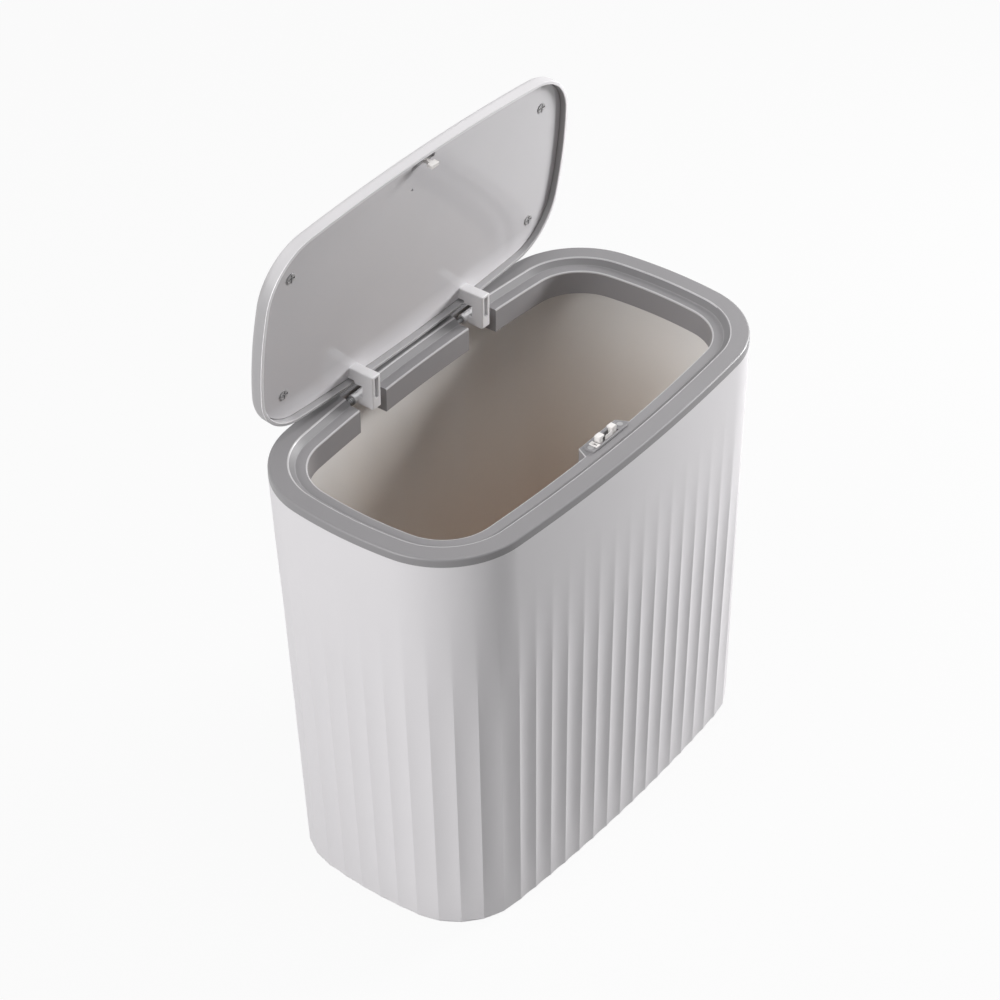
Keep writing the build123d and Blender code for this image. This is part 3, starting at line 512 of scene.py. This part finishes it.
BRACKET_WIDTH = 2.2
BRACKET_Y = (62.0, 74.4)
BRACKET_Z = (-18.5, -3.8)
BRACKET_REAR_Y = (69.7, 78.0)
BRACKET_REAR_Z = (-10.0, -2.1)
POCKET_ROOT = -62.5
POCKET_FACE = -54.6
POCKET_HALF_ROOT = 20.5
POCKET_HALF_FACE = 16.5
POCKET_Z = (-24.4, -3.3)
POCKET_EDGE = 0.5
WELL_X = (-11.2, 11.2)
WELL_Y = (-64.1, -57.0)
WELL_BOTTOM = -22.8
FLANGE_EDGE_Z = (-0.55, -0.02)
SLOPE_Z = (-2.95, -0.55)
SKIRT_EDGE_Z = (-4.15, -3.32)
TILTED = (0.15, 0.985)
FACES_FORWARD = 0.25
RING_COLOUR = (0.255, 0.248, 0.255)
# Painted highlight: a pale copy of the ring's grey for thin bright lines on its edges.
RING_HIGHLIGHT_COLOUR = (0.50, 0.49, 0.50)
# Painted shade: a dark copy of the ring's grey for its inward slope.
RING_SHADE_COLOUR = (0.195, 0.19, 0.195)


def sweep_section(outline, section, closed=True):
    """Carries a section round an outline, one spin for each of its arcs."""
    shape = bmesh.new()
    arcs = tangent_arcs(*outline)
    x, y, radius, start, _ = arcs[0]
    verts = [
        shape.verts.new((x + (radius - inset) * cos(start), y + (radius - inset) * sin(start), z))
        for inset, z in section
    ]
    pairs = zip(verts, verts[1:] + verts[:1]) if closed else zip(verts, verts[1:])
    geometry = verts + [shape.edges.new(pair) for pair in pairs]
    for (x, y, radius, start, end), count in zip(arcs, ARC_STEPS):
        turned = bmesh.ops.spin(
            shape,
            geom=geometry,
            cent=(x, y, 0.0),
            axis=(0.0, 0.0, 1.0),
            angle=end - start,
            steps=count,
        )
        geometry = turned["geom_last"]
    bmesh.ops.remove_doubles(shape, verts=shape.verts, dist=SEAM_WELD)
    bmesh.ops.recalc_face_normals(shape, faces=shape.faces)
    return shape


def joined(shape, other, operation="DIFFERENCE"):
    """One drawn shape cut by, or united with, another."""
    holders = []
    for drawn in (shape, other):
        bmesh.ops.recalc_face_normals(drawn, faces=drawn.faces)
        mesh = bpy.data.meshes.new("blank")
        drawn.to_mesh(mesh)
        drawn.free()
        holder = bpy.data.objects.new("blank", mesh)
        bpy.context.scene.collection.objects.link(holder)
        holders.append(holder)
    tool = holders[0].modifiers.new("cut", "BOOLEAN")
    tool.operation = operation
    tool.object = holders[1]
    tool.solver = "EXACT"
    cut_mesh = bpy.data.meshes.new_from_object(
        holders[0].evaluated_get(bpy.context.evaluated_depsgraph_get())
    )
    result = bmesh.new()
    result.from_mesh(cut_mesh)
    for holder in holders:
        spare = holder.data
        bpy.data.objects.remove(holder)
        bpy.data.meshes.remove(spare)
    bpy.data.meshes.remove(cut_mesh)
    return result


def prism(shape, corners, axis, low, high):
    """A flat outline of a few corners drawn out along an axis."""
    order = {"X": (2, 0, 1), "Y": (0, 2, 1), "Z": (0, 1, 2)}[axis]
    verts = []
    for first, second in corners:
        spot = (first, second, low)
        verts.append(shape.verts.new([spot[k] for k in order]))
    made = bmesh.ops.extrude_face_region(shape, geom=[shape.faces.new(verts)])["geom"]
    far = [item for item in made if isinstance(item, bmesh.types.BMVert)]
    step = Vector((0.0, 0.0, 0.0))
    step["XYZ".index(axis)] = high - low
    bmesh.ops.translate(shape, vec=step, verts=far)


def soften(shape, offset, angle=38.0, segments=2):
    """Rounds every edge sharper than an angle."""
    edges = [
        edge
        for edge in shape.edges
        if len(edge.link_faces) == 2 and edge.calc_face_angle(0.0) > radians(angle)
    ]
    bmesh.ops.bevel(
        shape,
        geom=edges,
        offset=offset,
        segments=segments,
        profile=0.5,
        affect="EDGES",
        material=-1,
        clamp_overlap=True,
    )


def block_shape(x, y, z, bevel=0.0):
    """A new shape that holds one box."""
    shape = bmesh.new()
    block(shape, x, y, z, bevel)
    return shape


def between(value, limits):
    """Whether a value lies inside two limits."""
    return limits[0] < value < limits[1]


ring_plastic = moulded_plastic("ring_plastic", RING_COLOUR, 0.38, cloud_depth=0.05, grain=0.1)
# Painted highlight: the ring's grey made pale for the edges of its flange and skirt.
ring_painted_highlight = moulded_plastic("ring_painted_highlight", RING_HIGHLIGHT_COLOUR, 0.3, cloud_depth=0.05)
# Painted shade: the ring's grey made dark for the inward slope between flange and seat.
ring_painted_shade = moulded_plastic("ring_painted_shade", RING_SHADE_COLOUR, 0.42, cloud_depth=0.05)

ring = sweep_section(RIM_OUTLINE, RING_SECTION)
pocket = bmesh.new()
pocket_outline = [
    (-POCKET_HALF_ROOT, POCKET_ROOT), (POCKET_HALF_ROOT, POCKET_ROOT),
    (POCKET_HALF_FACE, POCKET_FACE), (-POCKET_HALF_FACE, POCKET_FACE),
]
prism(pocket, pocket_outline, "Z", *POCKET_Z)
soften(pocket, POCKET_EDGE, segments=3)
ring = joined(ring, pocket, "UNION")
ring = joined(ring, block_shape(WELL_X, WELL_Y, (WELL_BOTTOM, CUT_TOP)))
for x in HINGE_X:
    for side in (-1, 1):
        span = sorted((x + side * NOTCH_HALF, x + side * (NOTCH_HALF + BRACKET_WIDTH)))
        ring = joined(ring, block_shape(span, BRACKET_Y, BRACKET_Z), "UNION")
        ring = joined(ring, block_shape(span, BRACKET_REAR_Y, BRACKET_REAR_Z), "UNION")
    notch_x = (x - NOTCH_HALF, x + NOTCH_HALF)
    ring = joined(ring, block_shape(notch_x, NOTCH_Y, (NOTCH_BOTTOM, CUT_TOP)))
bmesh.ops.recalc_face_normals(ring, faces=ring.faces)
# Inward faces on the flange's inner edge, except forward-facing ones, and on the skirt's top get a
# painted highlight; the inward slope between gets painted shade.
for face in ring.faces:
    centre = face.calc_center_median()
    inward = face.normal.x * centre.x + face.normal.y * centre.y < 0.0
    flange_highlight = between(centre.z, FLANGE_EDGE_Z) and face.normal.y < FACES_FORWARD
    if inward and between(face.normal.z, TILTED):
        if flange_highlight or between(centre.z, SKIRT_EDGE_Z):
            face.material_index = 1
        elif between(centre.z, SLOPE_Z):
            face.material_index = 2
trim = as_piece("trim_frame", ring, "ring", [ring_plastic, ring_painted_highlight, ring_painted_shade])
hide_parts("trim_ring")


# Lid cover: thin white shell with a low crown, its edge turned down round the liner. Its
# side is grey with painted light on its top flank, its lip has a painted highlight, and
# the lid stands open at its stop.
LID_OUTLINE = (131.0, 65.3, 36.0, 1140.0, 246.0)
LID_EDGE = (72.1, 2.1)
LID_ANGLE = 83.3
LIP_TOP = 0.45
SIDE_TOP = 8.4
SIDE_TILT = 0.85
SIDE_HEIGHT = 5.0
SHOULDER = 4.0
CROWN_INSET = 26.0
CROWN_RISE = 2.5
CURVE_STEPS = 8
CROWN_LEVELS = ((9.0, 10.5), (10.5, 12.0))
COVER_INSIDE = [  # inset from the lid's outline, height
    (CROWN_INSET, 9.7), (15.0, 9.2), (6.2, 7.3), (3.4, 6.4), (2.3, 4.6), (2.2, 0.4), (1.9, 0.0),
]
COVER_COLOUR = (0.66, 0.647, 0.66)
SIDE_COLOUR = (0.71, 0.695, 0.71)
# Painted light: the side is a darker grey below its top flank, which stays bright.
SIDE_PAINTED_LIGHT = [(0.06, 0.52), (0.18, 0.55), (0.2, 1.0)]
# Painted highlight: a pale lip, darker towards the hinge and slightly darker at the top.
LIP_HIGHLIGHT_COLOUR = (0.88, 0.865, 0.88)
LIP_HIGHLIGHT_TONES = [(0.06, 0.5), (0.078, 0.55), (0.1, 1.0), (0.185, 1.0), (0.2, 0.75)]

lid_move = (
    Matrix.Translation((0.0, LID_EDGE[0], LID_EDGE[1]))
    @ Matrix.Rotation(radians(-LID_ANGLE), 4, "X")
    @ Matrix.Translation((0.0, -LID_OUTLINE[1], 0.0))
)
cover_outside = [(0.5, 0.0), (0.15, 0.15), (0.0, 0.5), (0.0, SIDE_HEIGHT)]
for step in range(1, CURVE_STEPS + 1):
    turn = radians(90.0 * step / CURVE_STEPS)
    cover_outside.append((SHOULDER * (1.0 - cos(turn)), SIDE_HEIGHT + SHOULDER * sin(turn)))
for step in range(1, CURVE_STEPS + 1):
    share = step / CURVE_STEPS
    rise = CROWN_RISE * (1.0 - (1.0 - share) ** 2)
    inset = SHOULDER + (CROWN_INSET - SHOULDER) * share
    cover_outside.append((inset, SIDE_HEIGHT + SHOULDER + rise))
cover = sweep_section(LID_OUTLINE, cover_outside[::-1] + COVER_INSIDE[::-1], closed=False)
for level in CROWN_LEVELS:
    open_edges = [edge for edge in cover.edges if edge.is_boundary]
    crown_edges = [edge for edge in open_edges if between(edge.verts[0].co.z, level)]
    bmesh.ops.edgeloop_fill(cover, edges=crown_edges)
bmesh.ops.recalc_face_normals(cover, faces=cover.faces)
# Faces below the lip's top take the lip's painted highlight; steep faces of the side take its grey
# with painted light on the top flank.
for face in cover.faces:
    height = face.calc_center_median().z
    if height < LIP_TOP:
        face.material_index = 2
    elif height < SIDE_TOP and abs(face.normal.z) < SIDE_TILT:
        face.material_index = 1
# The cover's own white, its side with painted light, and its lip with a painted highlight.
cover_finishes = [
    moulded_plastic("cover_plastic", COVER_COLOUR, 0.40, cloud_depth=0.02),
    moulded_plastic("cover_side_painted_light", SIDE_COLOUR, 0.40, painted_light=SIDE_PAINTED_LIGHT),
    moulded_plastic("cover_lip_painted_highlight", LIP_HIGHLIGHT_COLOUR, 0.36, painted_light=LIP_HIGHLIGHT_TONES),
]
lid_shell = as_piece("lid_shell", cover, "lid", cover_finishes, sharp=40.0, move=lid_move)
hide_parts("lid_cover")


# Lid liner: light grey plate screwed inside the cover, glossier than the cover, with an
# opening for the striker and a small hole beside it.
LINER_LOW = 3.5
LINER_HIGH = 5.3
LINER_SECTION = [(2.5, 4.2), (2.65, 3.75), (3.1, LINER_LOW), (9.0, LINER_LOW)]
LINER_SPLIT = 3.6
LINER_CUT = 2.0
OPENING_X = (-9.6, 9.6)
OPENING_Y = (-61.7, -56.5)
OPENING_TOP = 7.0
SCREW_PLACES = [(x, y) for x in (-107.0, 107.0) for y in (-39.0, 39.0)]
COUNTERBORE_RADIUS = 3.26
COUNTERBORE_TOP = 4.4
VENT_PLACE = (-8.0, -43.0)
VENT_RADIUS = 0.8
VENT_TOP = 4.6
LINER_COLOUR = (0.62, 0.608, 0.625)
# Painted highlight: a brighter band along the liner's lower edge.
LINER_HIGHLIGHT_BAND = [(0.074, 1.4), (0.08, 1.32), (0.094, 1.0), (0.2, 1.0)]


def rod_shape(radius, axis, place, low, high, sides=32):
    """A round bar along an axis; place gives the other two coordinates."""
    shape = bmesh.new()
    made = bmesh.ops.create_cone(
        shape,
        cap_ends=True,
        cap_tris=False,
        segments=sides,
        radius1=radius,
        radius2=radius,
        depth=high - low,
    )["verts"]
    bmesh.ops.translate(shape, vec=(0.0, 0.0, (low + high) / 2), verts=made)
    turns = {
        "X": Matrix(((0, 0, 1, 0), (1, 0, 0, place[0]), (0, 1, 0, place[1]), (0, 0, 0, 1))),
        "Y": Matrix(((0, 1, 0, place[0]), (0, 0, 1, 0), (1, 0, 0, place[1]), (0, 0, 0, 1))),
        "Z": Matrix.Translation((place[0], place[1], 0.0)),
    }
    bmesh.ops.transform(shape, matrix=turns[axis], verts=made)
    return shape


# The liner's light grey, with a painted highlight band along its lower edge.
liner_plastic = moulded_plastic(
    "liner_plastic",
    LINER_COLOUR,
    0.1,
    cloud_size=9.0,
    cloud_depth=0.06,
    grain=0.03,
    painted_light=LINER_HIGHLIGHT_BAND,
)
liner = sweep_section(LID_OUTLINE, LINER_SECTION, closed=False)
open_edges = [edge for edge in liner.edges if edge.is_boundary]
low_edges = [edge for edge in open_edges if edge.verts[0].co.z < LINER_SPLIT]
bmesh.ops.edgeloop_fill(liner, edges=low_edges)
outer_edges = [edge for edge in liner.edges if edge.is_boundary]
for item in bmesh.ops.extrude_edge_only(liner, edges=outer_edges)["geom"]:
    if isinstance(item, bmesh.types.BMVert):
        item.co.z = LINER_HIGH
bmesh.ops.edgeloop_fill(liner, edges=[edge for edge in liner.edges if edge.is_boundary])
liner = joined(liner, block_shape(OPENING_X, OPENING_Y, (LINER_CUT, OPENING_TOP)))
for place in SCREW_PLACES:
    liner = joined(liner, rod_shape(COUNTERBORE_RADIUS, "Z", place, LINER_CUT, COUNTERBORE_TOP))
liner = joined(liner, rod_shape(VENT_RADIUS, "Z", VENT_PLACE, LINER_CUT, VENT_TOP, sides=20))
liner_plate = as_piece("liner_plate", liner, "lid", [liner_plastic], move=lid_move)
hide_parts("lid_liner")


# Hinge arms: two hooks moulded on the liner in the same light plastic, each with a slot
# in its face and a round boss at its foot that turns on the ring's pin.
ARM_OUTLINE = [  # depth, height
    (57.7, -7.6), (57.7, 14.0), (76.1, 14.0), (76.1, 6.7), (71.2, 6.7),
    (71.2, 4.9), (65.4, 4.9), (65.4, -2.1), (68.6, -2.1), (68.6, -7.6),
]
ARM_HALF = 3.5
ARM_EDGE = 0.8
SLOT_HALF = 1.5
SLOT_Y = (56.0, 61.2)
SLOT_Z = (-0.5, 12.5)
PIVOT = (71.0, -5.0)  # depth and height of the hinge pins
BOSS_RADIUS = 2.9
BOSS_HALF = 5.5
BOSS_EDGE = 0.35
BORE_RADIUS = 1.56
BORE_HALF = 7.0
ARM_COLOUR = (0.70, 0.69, 0.70)

arm_plastic = moulded_plastic("arm_plastic", ARM_COLOUR, 0.36, cloud_depth=0.02)
for x, side in zip(HINGE_X, ("left", "right")):
    arm = bmesh.new()
    prism(arm, ARM_OUTLINE, "X", x - ARM_HALF, x + ARM_HALF)
    soften(arm, ARM_EDGE, segments=3)
    arm = joined(arm, block_shape((x - SLOT_HALF, x + SLOT_HALF), SLOT_Y, SLOT_Z))
    boss = rod_shape(BOSS_RADIUS, "X", PIVOT, x - BOSS_HALF, x + BOSS_HALF)
    soften(boss, BOSS_EDGE)
    arm = joined(arm, boss, "UNION")
    arm = joined(arm, rod_shape(BORE_RADIUS, "X", PIVOT, x - BORE_HALF, x + BORE_HALF))
    hinge_arm = as_piece(f"hinge_arm_{side}", arm, "lid", [arm_plastic])
    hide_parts("lid_liner")


# Liner screws: four grey coated cross-head screws, sunk in the liner's counterbores, each
# with a low rounded head.
SCREW_RADIUS = 3.2
SCREW_LOW = 3.0
SCREW_HEIGHT = 1.4
SCREW_EDGE = 0.35
CROSS_HALVES = ((2.8, 0.55), (0.55, 2.8))
CROSS_Z = (2.0, 3.9)
SCREW_COLOUR = (0.42, 0.415, 0.42)

screws = bmesh.new()
for x, y in SCREW_PLACES:
    head = rod_shape(SCREW_RADIUS, "Z", (x, y), SCREW_LOW, SCREW_LOW + SCREW_HEIGHT)
    soften(head, SCREW_EDGE)
    for half_x, half_y in CROSS_HALVES:
        cross = block_shape((x - half_x, x + half_x), (y - half_y, y + half_y), CROSS_Z)
        head = joined(head, cross)
    head_mesh = bpy.data.meshes.new("screw")
    head.to_mesh(head_mesh)
    head.free()
    screws.from_mesh(head_mesh)
    bpy.data.meshes.remove(head_mesh)
screw_coat = moulded_plastic("screw_coat", SCREW_COLOUR, 0.4)
screw_heads = as_piece("screw_heads", screws, "lid", [screw_coat], move=lid_move)
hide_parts("liner_screws")


# Latch box: grey plastic housing screwed into the ring's pocket by its flange, with a
# well for the slider and a small white collar with a slot at its left end.
LATCH_Y = -60.3
LATCH_EDGE = 0.25
LATCH_COLOUR = (0.78, 0.755, 0.74)
BOX_X = (-11.0, 11.0)
BOX_Y = (-63.9, -57.2)
BOX_Z = (-22.0, -3.3)
BOX_EDGE = 0.3
BOX_FLANGE_X = (-15.5, 15.5)
BOX_FLANGE_Z = (-3.5, -1.8)
BOX_FLANGE_EDGE = 0.35
BOX_WELL_X = (-8.8, 8.8)
BOX_WELL_Y = (-62.8, -58.2)
BOX_WELL_Z = (-20.8, 0.0)
BOX_SCREW_X = (-13.2, 13.2)
BOX_SCREW_RADIUS = 1.76
BOX_SCREW_Z = (-2.55, 0.0)
COLLAR_LIMITS = ((-11.9, -8.8), (-63.5, -57.9), (-1.82, -1.1))
COLLAR_SLOT_LIMITS = ((-11.1, -9.5), (-62.4, -60.0), (-3.0, 0.0))

latch_plastic = moulded_plastic("latch_plastic", LATCH_COLOUR, 0.36, cloud_depth=0.02)
housing = block_shape(BOX_X, BOX_Y, BOX_Z, BOX_EDGE)
box_flange = block_shape(BOX_FLANGE_X, BOX_Y, BOX_FLANGE_Z, BOX_FLANGE_EDGE)
housing = joined(housing, box_flange, "UNION")
housing = joined(housing, block_shape(BOX_WELL_X, BOX_WELL_Y, BOX_WELL_Z))
for x in BOX_SCREW_X:
    housing = joined(housing, rod_shape(BOX_SCREW_RADIUS, "Z", (x, LATCH_Y), *BOX_SCREW_Z))
latch_box = as_piece("latch_box", housing, "ring", [ring_plastic])
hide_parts("latch_housing")

collar = joined(block_shape(*COLLAR_LIMITS, LATCH_EDGE), block_shape(*COLLAR_SLOT_LIMITS))
as_piece("latch_collar", collar, "ring", [latch_plastic])


# Latch slider: white plastic block that runs in the box's well on the spring, with slots
# for the jaws' feet and a thin guard that closes the gap in front between the jaws.
SLIDER_LIMITS = ((-8.6, 8.6), (-62.6, -58.4), (-13.8, -8.8))
GUARD_LIMITS = ((-2.6, 2.6), (-62.6, -61.7), (-9.2, -1.0))
BRIDGE_LIMITS = ((-3.1, 3.1), (-62.6, -62.2), (-6.0, 0.8))
BRIDGE_EDGE = 0.12
JAW_SLOT_X = (-6.7, 6.7)
JAW_SLOT_HALF = 2.9
JAW_SLOT_Y = (-61.8, -58.8)
JAW_SLOT_Z = (-13.3, 0.0)
SPRING_POCKET_RADIUS = 2.2
SPRING_POCKET_Z = (-14.8, -10.2)

carrier = block_shape(*SLIDER_LIMITS, LATCH_EDGE)
carrier = joined(carrier, block_shape(*GUARD_LIMITS, LATCH_EDGE), "UNION")
carrier = joined(carrier, block_shape(*BRIDGE_LIMITS, BRIDGE_EDGE), "UNION")
for x in JAW_SLOT_X:
    jaw_slot = block_shape((x - JAW_SLOT_HALF, x + JAW_SLOT_HALF), JAW_SLOT_Y, JAW_SLOT_Z)
    carrier = joined(carrier, jaw_slot)
carrier = joined(carrier, rod_shape(SPRING_POCKET_RADIUS, "Z", (0.0, LATCH_Y), *SPRING_POCKET_Z))
latch_carrier = as_piece("latch_carrier", carrier, "latch", [latch_plastic])
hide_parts("latch_slider")


# Latch jaws: two white hooked fingers on pins in the slider, which close round the
# striker's head as the slider goes down.
JAW_OUTLINE = [  # width from the middle, height
    (4.8, -11.5), (7.8, -11.5), (7.8, 1.5), (7.3, 2.0),
    (3.7, 2.0), (3.4, 1.6), (3.4, 0.5), (4.8, 0.5),
]
JAW_Y = (-62.15, -58.45)
JAW_EDGE = 0.3
JAW_PIN = (6.3, -11.5)
JAW_FOOT_RADIUS = 1.5
JAW_FOOT_Y = (-61.5, -59.1)
JAW_RELIEF_X = (2.0, 9.0)
JAW_RELIEF_Y = ((-63.0, -61.5), (-59.1, -57.0))
JAW_RELIEF_Z = (-14.0, -8.2)
JAW_BORE_RADIUS = 0.65
JAW_BORE_Y = (-63.0, -57.0)

for side, name in ((-1, "left"), (1, "right")):
    pin = (side * JAW_PIN[0], JAW_PIN[1])
    jaw = bmesh.new()
    prism(jaw, [(side * x, z) for x, z in JAW_OUTLINE], "Y", *JAW_Y)
    soften(jaw, JAW_EDGE, angle=60.0)
    jaw = joined(jaw, rod_shape(JAW_FOOT_RADIUS, "Y", pin, *JAW_FOOT_Y), "UNION")
    relief_x = sorted(side * x for x in JAW_RELIEF_X)
    for relief_y in JAW_RELIEF_Y:
        jaw = joined(jaw, block_shape(relief_x, relief_y, JAW_RELIEF_Z))
    jaw = joined(jaw, rod_shape(JAW_BORE_RADIUS, "Y", pin, *JAW_BORE_Y))
    latch_jaw = as_piece(f"latch_hook_{name}", jaw, f"jaw_{name}", [latch_plastic])
    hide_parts(f"latch_jaw_{name}")


# Latch spring: a coil of plated steel wire between the box's floor and the slider.
SPRING_RADIUS = 1.6
SPRING_WIRE = 0.25
SPRING_TURNS = 7
SPRING_STEPS = SPRING_TURNS * 24
SPRING_SIDES = 10
SPRING_LOW = Vector((0.0, LATCH_Y, -20.55))
SPRING_HIGH = Vector((0.0, LATCH_Y, -10.45))
LINE_SCALE = 700.0
LINE_SPREAD = 0.05
STEEL_COLOUR = (0.62, 0.62, 0.63)


def coil_spots(share):
    """The points round the wire, share of the way up the coil."""
    turn = 2.0 * pi * SPRING_TURNS * share
    out = Vector((cos(turn), sin(turn), 0.0))
    middle = SPRING_LOW.lerp(SPRING_HIGH, share) + out * SPRING_RADIUS
    angles = [2.0 * pi * side / SPRING_SIDES for side in range(SPRING_SIDES)]
    up = Vector((0.0, 0.0, 1.0))
    return [middle + (out * cos(angle) + up * sin(angle)) * SPRING_WIRE for angle in angles]


def steel_finish(name, colour, roughness):
    """Plated steel with faint drawn lines."""
    finish = Finish(name)
    place = finish.node("ShaderNodeTexCoord", {}, {}, "Object")
    lines = finish.node(
        "ShaderNodeTexNoise", {}, {"Vector": place, "Scale": LINE_SCALE, "Detail": 3.0}, "Fac"
    )
    look = {
        "Base Color": (*colour, 1.0),
        "Metallic": 1.0,
        "Roughness": roughness - LINE_SPREAD + lines * (2.0 * LINE_SPREAD),
    }
    return finish.surface(finish.node("ShaderNodeBsdfPrincipled", {}, look))


steel = steel_finish("plated_steel", STEEL_COLOUR, 0.3)
wire = bmesh.new()
wire_start = bmesh.ops.create_circle(
    wire, cap_ends=False, segments=SPRING_SIDES, radius=1.0
)["verts"]
for vert, spot in zip(wire_start, coil_spots(0.0)):
    vert.co = spot
wire_end = wire_start
for step in range(1, SPRING_STEPS + 1):
    wire_end = extrude_ring(wire, wire_end, coil_spots(step / SPRING_STEPS))
bmesh.ops.contextual_create(wire, geom=wire_start)
bmesh.ops.contextual_create(wire, geom=wire_end)
latch_coil = as_piece("latch_coil", wire, None, [steel], sharp=32.0, flat_faces=False)
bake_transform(latch_coil)
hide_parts("latch_spring")


# Pieces that keep their solid shape: hinge pins and springs of oiled steel, latch pins,
# the striker and its coated screws, and the wall plate with its two rubber buffers.
PLATE_COLOUR = (0.60, 0.60, 0.61)
RUBBER_COLOUR = (0.06, 0.06, 0.062)
OILED_COLOUR = (0.3, 0.3, 0.305)

plate_plastic = moulded_plastic("plate_plastic", PLATE_COLOUR, 0.5)
rubber = moulded_plastic("buffer_rubber", RUBBER_COLOUR, 0.7, grain=0.2)
dark_steel = steel_finish("oiled_steel", OILED_COLOUR, 0.45)
for node, finish in {
    "wall_plate": plate_plastic,
    "wall_buffers": rubber,
    "hinge_pin_left": dark_steel,
    "hinge_pin_right": dark_steel,
    "hinge_spring_left": dark_steel,
    "hinge_spring_right": dark_steel,
    "latch_screws": screw_coat,
    "cam_pin": steel,
    "jaw_pins": steel,
    "striker": latch_plastic,
    "striker_screws": screw_coat,
}.items():
    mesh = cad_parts[node].data
    mesh.materials.clear()
    mesh.materials.append(finish)
